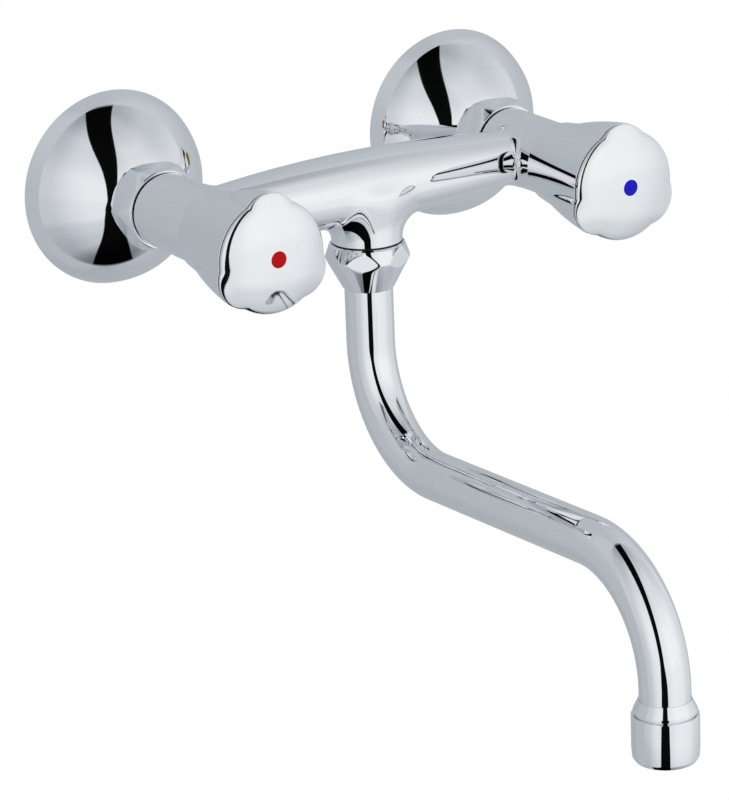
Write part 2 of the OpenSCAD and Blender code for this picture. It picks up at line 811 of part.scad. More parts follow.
// Turned sleeve that swivels in the boss, soldered on the top of the tube
module swivel_sleeve() {
    bore_r = tube_d/2 - tube_wall - sleeve_step - seat_gap;
    color("goldenrod") at_spout() difference() {
        union() {
            rod(sleeve_d/2, -flange_end, -sleeve_top);
            rod(sleeve_flange_d/2, -flange_end, -flange_top);
        }
        rod(bore_r, -tube_top - lap, -sleeve_top + cut);
        rod(tube_d/2 + face_gap, -flange_end - cut, -tube_top + face_gap);
        for (at = sleeve_rings) oring_groove(sleeve_d/2, at);
    }
}

// Two O-rings on the sleeve
module sleeve_orings() {
    color("black") at_spout() for (at = sleeve_rings) oring(sleeve_d/2, at);
}

// Straight length of the spout's path, with what follows at its end; the path heads for -y
module straight(r, len) {
    rotate([90, 0, 0]) cylinder(r = r, h = len);
    translate([0, -len, 0]) children();
}

// Low bead that ties a straight and a bend together
module bead(r) {
    rotate([90, 0, 0]) cylinder(r = r + weld, h = lap, center = true);
}

// Bend of the spout's path to one side, with what follows at its end
module elbow(r, side) {
    bead(r);
    translate([side*bend_r, 0, 0]) {
        rotate([0, 0, side < 0 ? -bend_angle : 180]) rotate_extrude(angle = bend_angle)
            translate([bend_r, 0]) circle(r = r);
        rotate([0, 0, side*bend_angle]) translate([-side*bend_r, 0, 0]) {
            bead(r);
            children();
        }
    }
}

// Path of the spout drawn with one radius, in the vertical plane through its axis
module spout_path(r, top, tail) {
    rotate([90, 0, 90]) translate([0, -top, 0]) straight(r, tube_drop - top) elbow(r, -1)
        straight(r, run_len) elbow(r, 1) straight(r, tail);
}

// Bent spout tube
module spout_tube() {
    color("gainsboro") at_spout() difference() {
        spout_path(tube_d/2, tube_top, tail_len);
        spout_path(tube_d/2 - tube_wall, tube_top - cut, tail_len + cut);
    }
}

// Puts a shape on the outlet's axis
module at_outlet() {
    at_spout() translate([0, -reach, 0]) children();
}

// Collar soldered on the tube's end, with the thread for the aerator
module outlet_collar() {
    bore_r = tube_d/2 + face_gap;
    seat_r = aerator_d/2 - collar_inset;
    color("silver") at_outlet() difference() {
        rotate_extrude() polygon([
            [0, thread_foot], [outlet_thread_d/2, thread_foot], [outlet_thread_d/2, collar_foot],
            [seat_r, collar_foot], [seat_r, collar_foot + collar_edge],
            [collar_top_d/2, collar_top], [0, collar_top]]);
        rod(bore_r, p5[1] - face_gap, collar_top + cut);
        rod(bore_r - tube_wall - collar_seat, thread_foot - cut, p5[1] + lap);
    }
}

// Aerator housing: a slightly tapered cap nut with an inner lip
module aerator_housing() {
    r = aerator_d/2;
    taper = 0.4;
    bore_r = outlet_thread_d/2 + loose_fit;
    step = gasket_foot - loose_fit;
    color("gainsboro") at_outlet() rotate_extrude() polygon(concat(
        [[bore_r, aerator_top], [r - edge, aerator_top], [r, aerator_top - edge],
            [r, aerator_top - aerator_h*0.65]],
        arc([r - taper - aerator_round, aerator_foot + aerator_round], aerator_round, 0, -90, 4),
        [[insert_r - lip_w, aerator_foot], [insert_r - lip_w, aerator_foot + lip_h],
            [insert_r + loose_fit, aerator_foot + lip_h], [insert_r + loose_fit, step], [bore_r, step]]));
}

// Flat ring between the collar and the aerator insert
module aerator_gasket() {
    color("dimgray") at_outlet()
        ring(tube_d/2 - 2*tube_wall, outlet_thread_d/2, gasket_foot, thread_foot - face_gap);
}

// Holes of one grid on concentric rings
module grid_holes(d, from, to) {
    rod(d/2, from, to);
    for (k = [1:grid_rings - 1]) for (i = [0:6*k - 1])
        rotate(60*i/k) translate([k*grid_pitch, 0, 0]) rod(d/2, from, to);
}

// Plastic insert with a perforated top and a grid at the outlet
module aerator_insert() {
    top = gasket_foot - face_gap;
    foot = aerator_foot + lip_h + face_gap;
    color("whitesmoke") at_outlet() difference() {
        rod(insert_r, foot, top);
        rod(insert_r - insert_wall, foot + insert_plate, top - insert_plate);
        grid_holes(grid_hole_d, foot - cut, foot + insert_plate + cut);
        grid_holes(top_hole_d, top - insert_plate - cut, top + cut);
    }
}

body();
spout_nut();
slip_ring();
spout_tube();
swivel_sleeve();
sleeve_orings();
outlet_collar();
aerator_housing();
aerator_gasket();
aerator_insert();
s_union(hot);  // hot_s_union
wall_plate(hot);  // hot_wall_plate
union_nut(hot);  // hot_union_nut
inlet_gasket(hot);  // hot_inlet_gasket
headwork(hot);  // hot_headwork
headwork_seal(hot);  // hot_headwork_seal
spindle(hot);  // hot_spindle
spindle_orings(hot);  // hot_spindle_orings
spindle_clip(hot);  // hot_spindle_clip
plunger(hot);  // hot_plunger
valve_washer(hot);  // hot_valve_washer
washer_screw(hot);  // hot_washer_screw
knob(hot);  // hot_knob
knob_screw(hot);  // hot_knob_screw
knob_cap(hot);  // hot_knob_cap
dot(hot, "red");  // hot_dot
s_union(cold);  // cold_s_union
wall_plate(cold);  // cold_wall_plate
union_nut(cold);  // cold_union_nut
inlet_gasket(cold);  // cold_inlet_gasket
headwork(cold);  // cold_headwork
headwork_seal(cold);  // cold_headwork_seal
spindle(cold);  // cold_spindle
spindle_orings(cold);  // cold_spindle_orings
spindle_clip(cold);  // cold_spindle_clip
plunger(cold);  // cold_plunger
valve_washer(cold);  // cold_valve_washer
washer_screw(cold);  // cold_washer_screw
knob(cold);  // cold_knob
knob_screw(cold);  // cold_knob_screw
knob_cap(cold);  // cold_knob_cap
dot(cold, "blue");  // cold_dot
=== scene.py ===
"""Dresses the wall-mounted kitchen tap: chrome, brass, rubber and plastic pieces on the CAD frame."""

import json
import math
from types import SimpleNamespace

import bmesh
import bpy
import numpy as np
from mathutils import Matrix, Vector


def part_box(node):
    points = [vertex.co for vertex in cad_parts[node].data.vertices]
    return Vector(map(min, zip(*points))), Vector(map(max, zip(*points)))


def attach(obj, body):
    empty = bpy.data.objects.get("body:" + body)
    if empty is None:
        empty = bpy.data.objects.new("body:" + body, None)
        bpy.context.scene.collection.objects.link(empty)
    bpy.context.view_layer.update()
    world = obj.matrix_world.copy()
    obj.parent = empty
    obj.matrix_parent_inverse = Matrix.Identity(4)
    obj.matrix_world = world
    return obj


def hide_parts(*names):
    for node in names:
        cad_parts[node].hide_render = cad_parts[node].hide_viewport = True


bl_info = {
    "name": "Wall kitchen tap",
    "version": (1, 0, 0),
    "blender": (4, 5, 0),
    "location": "3D View > Sidebar > Tap",
    "description": "Builds the visible pieces of a wall-mounted kitchen tap on its CAD frame",
    "category": "Object",
}

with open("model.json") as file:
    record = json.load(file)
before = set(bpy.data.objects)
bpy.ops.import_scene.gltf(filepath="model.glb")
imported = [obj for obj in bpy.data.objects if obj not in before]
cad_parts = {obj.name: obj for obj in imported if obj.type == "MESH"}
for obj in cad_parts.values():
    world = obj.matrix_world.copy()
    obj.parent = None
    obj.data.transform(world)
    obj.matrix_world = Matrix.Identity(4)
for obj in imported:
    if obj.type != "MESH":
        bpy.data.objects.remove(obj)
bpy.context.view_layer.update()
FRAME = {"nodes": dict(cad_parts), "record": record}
MM = 0.001
SIDES = {"hot": -1, "cold": 1}


def node_box(node):
    """Lowest and highest corner of a CAD node, in millimetres."""
    low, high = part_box(node)
    return np.array(low) / MM, np.array(high) / MM


def span(node, axis):
    """Lowest and highest place of a CAD node along one axis, in millimetres."""
    low, high = node_box(node)
    return low[axis], high[axis]


def from_wall(node):
    """Nearest and farthest distance of a CAD node from the wall plane, in millimetres."""
    low, high = node_box(node)
    return -high[1], -low[1]


# PITCH is the distance between the barrels' axes and AXIS_Z their height. SPOUT_Y and OUTLET_Y place
# the two upright axes of the spout, and BARREL_X parts the barrels from the middle of the tap.
NUT_LOW, NUT_HIGH = node_box("cold_union_nut")
PITCH = NUT_LOW[0] + NUT_HIGH[0]
AXIS_Z = (NUT_LOW[2] + NUT_HIGH[2]) / 2
SPOUT_Y = sum(span("swivel_sleeve", 1)) / 2
OUTLET_Y = sum(span("aerator_housing", 1)) / 2
BARREL_X = 0.6 * PITCH / 2


def length(name, about, default, low=0.0, high=500.0):
    """A length that a user may change, given in millimetres and kept in Blender's metres."""
    return bpy.props.FloatProperty(name=name, description=about, subtype="DISTANCE", unit="LENGTH",
                                   default=default * MM, min=low * MM, max=high * MM)


def degrees(name, about, default, low=-180.0, high=180.0):
    """An angle that a user may change, given in degrees and kept in radians."""
    return bpy.props.FloatProperty(name=name, description=about, subtype="ANGLE", unit="ROTATION",
                                   default=math.radians(default), min=math.radians(low),
                                   max=math.radians(high))


def figure(name, about, default, high=1.0):
    """A plain number that a user may change."""
    return bpy.props.FloatProperty(name=name, description=about, default=default, min=0.0, max=high)


def shade(name, about, default):
    """A colour that a user may change."""
    return bpy.props.FloatVectorProperty(name=name, description=about, subtype="COLOR", size=4, min=0.0,
                                         max=1.0, default=default)


def sizes_of(group):
    """A group's numbers for the shapes' formulas: lengths in millimetres, angles in radians.

    Blender keeps them as short floats, so a length is rounded to a ten-thousandth of a millimetre.
    """
    found = {}
    for prop in group.bl_rna.properties:
        if prop.type == "FLOAT":
            value = getattr(group, prop.identifier)
            found[prop.identifier] = round(value / MM, 4) if prop.unit == "LENGTH" else value
    return SimpleNamespace(**found)


class TapBodySizes(bpy.types.PropertyGroup):
    """Sizes of the cast body."""

    barrel_r: length("Barrel radius", "Radius of a valve barrel", 14.0)
    bridge_mid_r: length("Bridge middle radius", "Radius of the bridge at its middle", 13.75)
    bridge_end_r: length("Bridge end radius", "Radius of the bridge beside a barrel", 10.4)
    boss_r: length("Boss radius", "Radius of the spout boss", 13.4)
    boss_drop: length("Boss drop", "Way from the bridge axis down to the boss's shoulder", 21.0)
    boss_fillet: length("Boss fillet", "Rolling radius between bridge and boss", 7.5)
    barrel_fillet_top: length("Top fillet", "Rolling radius between bridge and barrel, above and below", 4.0)
    barrel_fillet_side: length("Side fillet", "Rolling radius between bridge and barrel, front and back", 1.4)
    edge: length("Edge", "Rounding of the barrel's ends", 0.5)
    nut_gap: length("Nut gap", "Way from a union nut to the barrel", 0.7)
    spigot_r: length("Spigot radius", "Radius of the spigot inside a union nut", 11.0)
    flange_r: length("Flange radius", "Radius of the spigot's flange, which the nut pulls on", 12.9)
    flange_w: length("Flange width", "Width of that flange", 2.0)
    inlet_r: length("Inlet radius", "Radius of an inlet's bore", 7.5)
    inlet_end: length("Inlet end", "Distance of the inlet bore's end from the wall", 48.4)
    mouth_r: length("Mouth radius", "Radius of the recess in a barrel's front", 11.4)
    mouth_deep: length("Mouth depth", "Depth of that recess", 1.5)
    headwork_r: length("Headwork radius", "Radius of the headwork's thread", 10.1)
    headwork_deep: length("Headwork depth", "Depth of the headwork's thread", 13.5)
    chamber_r: length("Chamber radius", "Radius of the valve's chamber", 9.6)
    chamber_end: length("Chamber end", "Distance of the chamber's floor from the wall", 51.0)
    seat_r: length("Seat radius", "Radius of the valve's seat", 7.0)
    seat_end: length("Seat end", "Distance of the seat's rim from the wall", 52.0)
    port_r: length("Port radius", "Radius of the hole in the seat", 5.5)
    port_end: length("Port end", "Distance of that hole's floor from the wall", 49.0)
    shoulder_r: length("Shoulder radius", "Inner radius of the boss's shoulder", 12.6)
    shoulder_step: length("Shoulder step", "Depth of the step inside the shoulder", 0.6)
    nut_thread_r: length("Nut thread radius", "Radius of the boss's thread for the spout nut", 13.2)
    nut_thread_h: length("Nut thread height", "Height of that thread", 5.0)
    sleeve_r: length("Sleeve bore radius", "Radius of the bore that the spout's sleeve turns in", 10.41)
    sleeve_top: length("Sleeve bore top", "Way from the bridge axis down to that bore's end", 6.0)
    grain: length("Grain", "Length of a mesh edge on the casting", 1.1, 0.5, 4.0)


class TapKnobSizes(bpy.types.PropertyGroup):
    """Sizes of a knob and its cap."""

    base_r: length("Base radius", "Radius of the skirt beside the barrel", 15.5)
    front_r: length("Front radius", "Radius of the skirt's front between the lobes", 20.85)
    lobe_axis_back: length("Lobe place behind", "Way from the axis to a lobe's centre, at its start", 14.9)
    lobe_axis_front: length("Lobe place in front", "Way from the axis to a lobe's centre, in front", 12.4)
    lobe_r: length("Lobe radius", "Radius of a lobe's own curve in front", 10.9)
    lobe_start: length("Lobe start", "Way from the skirt's base to the start of a lobe", 3.6)
    lobe_bulge: length("Lobe bulge", "Swelling of a lobe's back outside a straight cone", 1.1)
    hollow: length("Hollow", "Softness of the line where a lobe leaves the skirt", 0.5)
    # The seam's dark is painted shade, from the near-black seam colour.
    seam_depth: length("Seam depth", "Depth of the dark seam behind the cap", 0.9)
    seam_w: length("Seam width", "Width of that seam", 0.65)
    cap_lip: length("Cap lip", "Height of the cap's upright edge", 1.0)
    cap_power: figure("Cap bow", "Power of the cap's bow, which is fuller at the edge below 1", 0.74)
    cap_inset: length("Cap inset", "How far the cap's edge lies inside the skirt's", 0.1)
    dot_r: length("Mark radius", "Radius of the coloured mark", 3.0)
    edge: length("Edge", "Rounding of the skirt's two ends", 0.3)
    wall: length("Wall", "Thickness of the skirt beside the barrel", 1.4)
    web_back: length("Web back", "Way from the skirt's front to the back of its web", 8.75)
    web_front: length("Web front", "Way from the skirt's front to the front of its web", 5.7)
    hollow_r: length("Front hollow radius", "Radius of the hollow that the cap covers", 18.4)


class TapPlateSizes(bpy.types.PropertyGroup):
    """Sizes of a wall plate."""

    rim_w: length("Rim width", "Width of the steep rim seen from the front", 2.4)
    rim_h: length("Rim height", "Height of the rim above the wall, where the dome starts", 6.9)
    rim_bulge: length("Rim bulge", "Bulge of the rim outside a straight cone", 0.12)
    foot_slope: degrees("Foot slope", "Slope of the dome beside the rim", 58.6)
    outer_slope: degrees("Outer slope", "Slope of the dome a third of the way in", 45.3)
    inner_slope: degrees("Inner slope", "Slope of the dome two thirds of the way in", 37.6)
    head_slope: degrees("Head slope", "Slope of the dome beside the neck", 26.3)
    neck_r: length("Neck radius", "Outer radius of the plate's short neck", 14.0)
    neck_bore_r: length("Neck bore radius", "Radius of the hole in the neck", 13.45)
    wall: length("Wall", "Thickness of the pressed sheet", 0.6)


class TapUnionSizes(bpy.types.PropertyGroup):
    """Sizes of a wall union."""

    pitch: length("Thread pitch", "Way between two turns of both threads", 1.814)
    stub_r: length("Stub radius", "Crest radius of the thread that goes into the wall", 10.47)
    stub_bore_r: length("Stub bore radius", "Radius of the bore in that stub", 7.0)
    mouth_r: length("Mouth radius", "Crest radius of the thread that takes the union nut", 13.2)
    mouth_bore_r: length("Mouth bore radius", "Radius of the bore behind that thread", 8.0)
    collar_r: length("Collar radius", "Radius of the collar in front of the wall", 12.5)
    collar_h: length("Collar height", "Distance of the collar's front from the wall", 6.0)
    pipe_r: length("Pipe radius", "Radius of the slanted middle", 11.5)
    pipe_bore_r: length("Pipe bore radius", "Radius of the bore in the slanted middle", 6.0)
    pipe_start: length("Pipe start", "Distance of the slanted middle's start from the wall", 4.0)
    pipe_run: length("Pipe run", "Way from the wall that the slanted middle takes", 12.0)
    stub_end: length("Stub end", "Distance of the stub thread's front end from the wall", 1.5)
    mouth_start: length("Mouth start", "Distance of the threaded mouth's back end from the wall", 15.5)


class TapNutSizes(bpy.types.PropertyGroup):
    """Sizes of a union nut."""

    corner_cut: length("Corner cut", "How far the corners are turned down", 0.27)
    back_cone: length("Back cone", "Length of the cone on the wall's side", 2.2)
    front_cone: length("Front cone", "Length of the cone on the barrel's side", 4.2)
    edge_soft: length("Edge softness", "Softness of the edges round the flats", 0.3)
    lip_r: length("Lip radius", "Radius of the flat ring beside the barrel", 14.7)
    # The seam's dark is painted shade, from the near-black seam colour.
    seam_r: length("Seam radius", "Radius where that ring turns in to the dark seam", 13.75)
    thread_r: length("Thread radius", "Radius of the nut's thread", 13.32)
    hole_r: length("Hole radius", "Radius of the hole that the body's spigot passes", 11.22)
    web: length("Web", "Thickness of the web round that hole", 3.0)


class TapSpoutSizes(bpy.types.PropertyGroup):
    """Sizes of the spout and its nut."""

    tube_r: length("Tube radius", "Outside radius of the spout tube", 9.15)
    wall: length("Wall", "Thickness of the tube's wall", 1.0)
    drop: length("Drop", "Way from the bridge axis down to the first bend", 60.0)
    bend_r: length("Bend radius", "Radius of both bends on the tube's axis", 42.5)
    bend_angle: degrees("Bend angle", "Angle of both bends", 92.7)
    run: length("Run", "Length of the straight between the bends", 100.5)
    tail: length("Tail", "Length of tube below the second bend", 7.0)
    nut_flats: length("Nut flats", "Width across the spout nut's flats", 29.4)
    nut_turn: degrees("Nut turn", "Turn of the spout nut's flats", 23.3)
    nut_ridge_r: length("Nut ridge", "Radius of the spout nut's ridge", 15.9)
    nut_ridge_drop: length("Nut ridge drop", "Way from the bridge axis down to that ridge", 27.0)
    nut_top_r: length("Nut top radius", "Radius of the spout nut beside the boss", 14.3)
    nut_thread_r: length("Nut thread radius", "Radius of the spout nut's thread", 13.32)
    nut_web: length("Nut web drop", "Way from the bridge axis down to the nut's web", 29.0)
    nut_flat_soft: length("Flat softness", "Softness of the edges round the nut's flats", 0.18)
    collar_r: length("Collar radius", "Radius of the outlet collar's foot", 11.35)
    outlet_thread_r: length("Outlet thread radius", "Radius of the thread inside the aerator", 10.9)
    outlet_r: length("Outlet radius", "Radius of the bore at the outlet", 7.6)
    aerator_r: length("Aerator radius", "Radius of the aerator's ring", 12.0)
    aerator_hole_r: length("Aerator hole radius", "Radius of the aerator's opening", 9.3)
    aerator_bore_r: length("Aerator bore radius", "Radius of the aerator's room for its insert", 10.1)


class TapFinish(bpy.types.PropertyGroup):
    """Colours of the tap's materials."""

    chrome: shade("Chrome", "Colour of the plating", (0.86, 0.87, 0.885, 1.0))
    # Painted shade: the near-black colour the plating takes deep in the seams.
    gap: shade("Gap", "Colour deep in the seams", (0.006, 0.006, 0.007, 1.0))
    brass: shade("Brass", "Colour of bare brass", (0.72, 0.54, 0.26, 1.0))
    steel: shade("Steel", "Colour of the screws and clips", (0.56, 0.57, 0.58, 1.0))
    rubber: shade("Rubber", "Colour of seals and washers", (0.025, 0.025, 0.028, 1.0))
    fibre: shade("Fibre", "Colour of the red fibre rings", (0.28, 0.05, 0.035, 1.0))
    plastic: shade("Plastic", "Colour of the white plastic pieces", (0.74, 0.74, 0.72, 1.0))
    hot: shade("Hot mark", "Colour of the hot mark", (0.56, 0.001, 0.003, 1.0))
    cold: shade("Cold mark", "Colour of the cold mark", (0.012, 0.01, 0.62, 1.0))


class TapStage(bpy.types.PropertyGroup):
    """Camera and studio."""

    azimuth: degrees("Azimuth", "Turn of the camera to the tap's hot side", -30.681)
    elevation: degrees("Elevation", "Rise of the camera's line of sight", 18.291, -90.0, 90.0)
    roll: degrees("Roll", "Turn of the camera about its line of sight", -2.203)
    distance: length("Distance", "Way from the camera to the aim point", 1559.5, 100.0, 9000.0)
    aim_x: length("Aim across", "Aim point, to the side", -4.43, -500.0, 500.0)
    aim_y: length("Aim out", "Aim point, from the wall", -60.0, -500.0, 500.0)
    aim_z: length("Aim up", "Aim point, above the barrels' axes", -83.0, -500.0, 500.0)
    lens: bpy.props.FloatProperty(name="Lens", description="Focal length on a sensor 36 mm high", min=10.0,
                                  default=185.77, subtype="DISTANCE_CAMERA", unit="CAMERA")
    floor_drop: length("Floor", "Way from the wall threads down to the floor", 450.0, 200.0, 2000.0)
    floor_r: length("Floor radius", "Radius of the round floor", 400.0, 50.0, 3000.0)
    tent_r: length("Tent radius", "Radius of the light tent round the tap", 1050.0, 400.0, 9000.0)
    tent_light: figure("Tent light", "Brightness of the tent's whitest cloth", 1.12, 5.0)
    slit_turn: degrees("Slit turn", "Turn of the tent's dark slit to the hot side", -29.0)
    slit_w: figure("Slit width", "Half width of the slit, as a share of the tent's radius", 0.2)


GROUPS = {
    "tap_body": TapBodySizes,
    "tap_knob": TapKnobSizes,
    "tap_plate": TapPlateSizes,
    "tap_union": TapUnionSizes,
    "tap_nut": TapNutSizes,
    "tap_spout": TapSpoutSizes,
    "tap_finish": TapFinish,
    "tap_stage": TapStage,
}


def grid_faces(rows, columns, close_rows=False):
    """Quads of a grid whose columns run round: each joins two rows and two neighbouring columns."""
    last = rows if close_rows else rows - 1
    row = np.arange(last)[:, None]
    column = np.arange(columns)[None, :]
    above = ((row + 1) % rows) * columns
    beside = (column + 1) % columns
    quads = np.stack(np.broadcast_arrays(row * columns + column, above + column, above + beside,
                                         row * columns + beside), axis=-1)
    return quads.reshape(-1, 4)


def fan_faces(ring, pole, flip):
    """Triangles that close a ring of point numbers with one pole."""
    ahead = np.roll(ring, -1)
    ends = (ahead, ring) if flip else (ring, ahead)
    return np.stack([ends[0], ends[1], np.full(len(ring), pole)], axis=-1)


class Shell:
    """Points, normals and faces of one closed surface, collected as arrays, in millimetres."""

    def __init__(self):
        self.points = np.zeros((0, 3))
        self.normals = np.zeros((0, 3))
        self.quads = np.zeros((0, 4), int)
        self.triangles = np.zeros((0, 3), int)

    def add(self, points, normals, quads=None, triangles=None):
        """Adds points with their normals, and faces that count from the first of them."""
        first = len(self.points)
        self.points = np.vstack([self.points, points])
        self.normals = np.vstack([self.normals, normals])
        if quads is not None:
            self.quads = np.vstack([self.quads, quads + first])
        if triangles is not None:
            self.triangles = np.vstack([self.triangles, triangles + first])
        return first

    def faces_out(self):
        """Turns all faces round if the surface's signed volume is negative."""
        a, b, c, d = (self.points[self.quads[:, i]] for i in range(4))
        volume = np.einsum("ij,ij->", a, np.cross(b, c)) + np.einsum("ij,ij->", a, np.cross(c, d))
        if len(self.triangles):
            a, b, c = (self.points[self.triangles[:, i]] for i in range(3))
            volume += np.einsum("ij,ij->", a, np.cross(b, c))
        if volume < 0:
            self.quads = self.quads[:, ::-1]
            self.triangles = self.triangles[:, ::-1]
        return self


def merge(shells):
    """One shell that holds several closed ones."""
    whole = Shell()
    for shell in shells:
        shell.faces_out()
        whole.add(shell.points, shell.normals, shell.quads, shell.triangles)
    return whole


def make_piece(name, shell, material, body, nodes, gap=None):
    """Puts a shell into a mesh object, smooth with its own normals, and ties it to the frame.

    gap, if given, is 1 on the points that lie deep in a seam, where the plating paints near-black shade, and
    else 0.
    """
    mesh = bpy.data.meshes.new(name)
    faces = shell.quads.tolist() + shell.triangles.tolist()
    mesh.from_pydata((shell.points * MM).tolist(), [], faces)
    mesh.update()
    mesh.shade_smooth()
    mesh.normals_split_custom_set_from_vertices(shell.normals.tolist())
    if gap is not None:
        mesh.attributes.new("gap", "FLOAT", "POINT").data.foreach_set("value", gap.astype(np.float32))
    mesh.materials.append(material)
    piece = bpy.data.objects.new(name, mesh)
    bpy.context.scene.collection.objects.link(piece)
    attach(piece, body)
    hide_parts(*nodes)


def unit(vectors):
    """Vectors scaled to length one."""
    return vectors / np.maximum(np.linalg.norm(vectors, axis=-1, keepdims=True), 1e-12)


def rounded(corners, closed=False):
    """Profile through corners (along, radius, rounding): each sharp turn becomes an arc of its rounding.

    Returns the points and their outward normals. A corner without a rounding gets 0.2 mm. Where the
    line turns by less than 15 degrees it is taken as one smooth curve and the normal is the mean of
    the two sides. Outward is to the left of the way when along is drawn to the right and radius up.
    """
    steps = 5
    corners = [tuple(c) + (0.2,) * (3 - len(c)) for c in corners]
    place = np.array([c[:2] for c in corners], float)
    count = len(corners)
    points, normals = [], []
    for i in range(count):
        here = place[i]
        if not closed and i in (0, count - 1):
            step = place[1] - here if i == 0 else here - place[i - 1]
            way = unit(step)
            points.append(here)
            normals.append((-way[1], way[0]))
            continue
        before = here - place[i - 1]
        after = place[(i + 1) % count] - here
        way_in, way_out = unit(before), unit(after)
        turn = math.atan2(way_in[0] * way_out[1] - way_in[1] * way_out[0], float(way_in @ way_out))
        if abs(turn) < math.radians(15):
            way = unit(way_in + way_out)
            points.append(here)
            normals.append((-way[1], way[0]))
            continue
        room = 0.45 * min(np.linalg.norm(before), np.linalg.norm(after))
        cut = min(corners[i][2] * math.tan(abs(turn) / 2), room)
        radius = cut / math.tan(abs(turn) / 2)
        side = math.copysign(1.0, turn)
        centre = here - way_in * cut + np.array([-way_in[1], way_in[0]]) * side * radius
        first = np.array([-way_in[1], way_in[0]])
        for t in np.linspace(0, turn, steps + 1):
            normal = np.array([first[0] * math.cos(t) - first[1] * math.sin(t),
                               first[0] * math.sin(t) + first[1] * math.cos(t)])
            points.append(centre - normal * side * radius)
            normals.append(tuple(normal))
    return np.array(points), np.array(normals)


def refined(points, normals, longest):
    """The same closed profile with its long straight stretches cut into steps of at most that length."""
    out_points, out_normals = [], []
    ahead, ahead_normals = (np.roll(values, -1, axis=0) for values in (points, normals))
    for i, distance in enumerate(np.linalg.norm(ahead - points, axis=1)):
        steps = max(1, int(math.ceil(distance / longest)))
        t = np.arange(steps)[:, None] / steps
        out_points.append(points[i] * (1 - t) + ahead[i] * t)
        out_normals.append(unit(normals[i] * (1 - t) + ahead_normals[i] * t))
    return np.vstack(out_points), np.vstack(out_normals)


class Axis:
    """A line that shapes are turned about: where it starts, where it runs, and what counts as angle 0."""

    def __init__(self, origin, along, zero):
        self.origin = np.array(origin, float)
        self.along = np.array(along, float)
        self.zero = np.array(zero, float)
        self.side = np.cross(self.along, self.zero)

    def place(self, along, radius, angle):
        """Points from their place along the line, radius and angle."""
        across = np.cos(angle)[..., None] * self.zero + np.sin(angle)[..., None] * self.side
        return self.origin + along[..., None] * self.along + radius[..., None] * across

    def direct(self, along, radial, tangent, angle):
        """Directions from their parts along the line, away from it and round it."""
        across = np.cos(angle)[..., None] * self.zero + np.sin(angle)[..., None] * self.side
        round_ = -np.sin(angle)[..., None] * self.zero + np.cos(angle)[..., None] * self.side
        return unit(along[..., None] * self.along + radial[..., None] * across + tangent[..., None] * round_)


def barrel_axis(side):
    """Axis of one barrel: along it counts the distance from the wall, and angle 0 is up."""
    return Axis((SIDES[side] * PITCH / 2, 0, AXIS_Z), (0, -1, 0), (0, 0, 1))


def spout_axis():
    """Vertical axis that the spout turns on: along it counts the height above the bridge's axis."""
    return Axis((0, SPOUT_Y, AXIS_Z), (0, 0, 1), (0, -1, 0))


def outlet_axis():
    """Vertical axis of the outlet."""
    return Axis((0, OUTLET_Y, AXIS_Z), (0, 0, 1), (0, -1, 0))


def turned(axis, points, normals, columns, closed=False, shape=None):
    """Surface of revolution: each profile point goes round the axis in equal steps.

    shape, if given, may change radius and normals as a function of the angle. An open profile has to
    start and end on the axis, and is closed there by poles.
    """
    angle = np.linspace(0, 2 * np.pi, columns, endpoint=False)[None, :]
    shell = Shell()
    rows = slice(None) if closed else slice(1, -1)
    along, radius = (points[rows, k:k + 1] + 0 * angle for k in (0, 1))
    out_along, out_radial = (normals[rows, k:k + 1] + 0 * angle for k in (0, 1))
    turn = angle + 0 * along
    out_round = 0 * along
    if shape is not None:
        radius, out_along, out_radial, out_round = shape(along, radius, turn, out_along, out_radial)
    count = along.shape[0]
    shell.add(axis.place(along, radius, turn).reshape(-1, 3),
              axis.direct(out_along, out_radial, out_round, turn).reshape(-1, 3),
              grid_faces(count, columns, close_rows=closed))
    if not closed:
        for end, row, flip in ((0, 0, False), (-1, count - 1, True)):
            pole = axis.origin + points[end, 0] * axis.along
            number = shell.add(pole[None], (normals[end, 0] * axis.along)[None])
            ring = np.arange(columns) + row * columns
            shell.triangles = np.vstack([shell.triangles, fan_faces(ring, number, flip)])
    return shell.faces_out()


def flats(count, width, turn, soft):
    """A shape for turned(): flats cut the round outline where it stands out beyond their distance.

    The flat's distance at an angle is half its width over the cosine from the flat's middle. Both
    outlines are joined by a soft minimum, and the normal swings over the same softness.
    """
    half = width / 2
    share = 2 * math.pi / count

    def shape(along, radius, angle, out_along, out_radial):
        local = (angle - turn + share / 2) % share - share / 2
        flat = half / np.cos(local)
        gap = radius - flat
        blend = 0.5 + 0.5 * gap / np.sqrt(gap * gap + soft * soft)
        outline = 0.5 * (radius + flat - np.sqrt(gap * gap + soft * soft))
        new_radius = np.where(radius > half - 2 * soft, outline, radius)
        weight = np.where(radius > half - 2 * soft, blend, 0.0)
        flat_radial = np.cos(local)
        flat_round = -np.sin(local)
        keep = 1 - weight
        return (new_radius, out_along * keep, out_radial * keep + flat_radial * weight, flat_round * weight)

    return shape


def bulged(start, end, sagitta, steps):
    """Arc from start to end that swells to the left of the way by the given height."""
    start, end = np.array(start, float), np.array(end, float)
    way = end - start
    chord = np.linalg.norm(way)
    way = way / chord
    side = np.array([-way[1], way[0]])
    radius = (chord * chord / 4 + sagitta * sagitta) / (2 * sagitta)
    half = math.asin(chord / 2 / radius)
    angle = np.linspace(-half, half, steps + 1)
    middle = (start + end) / 2
    return [tuple(middle + way * radius * math.sin(a) + side * (radius * math.cos(a) - radius + sagitta))
            for a in angle]


def socket_group(name, inputs, outputs):
    """A new shader node group with float and colour sockets, given as (name, type, default)."""
    group = bpy.data.node_groups.new(name, "ShaderNodeTree")
    for label, kind, default in inputs:
        socket = group.interface.new_socket(name=label, in_out="INPUT", socket_type="NodeSocket" + kind)
        socket.default_value = default
    for label, kind in outputs:
        group.interface.new_socket(name=label, in_out="OUTPUT", socket_type="NodeSocket" + kind)
    return group, group.nodes.new("NodeGroupInput"), group.nodes.new("NodeGroupOutput")


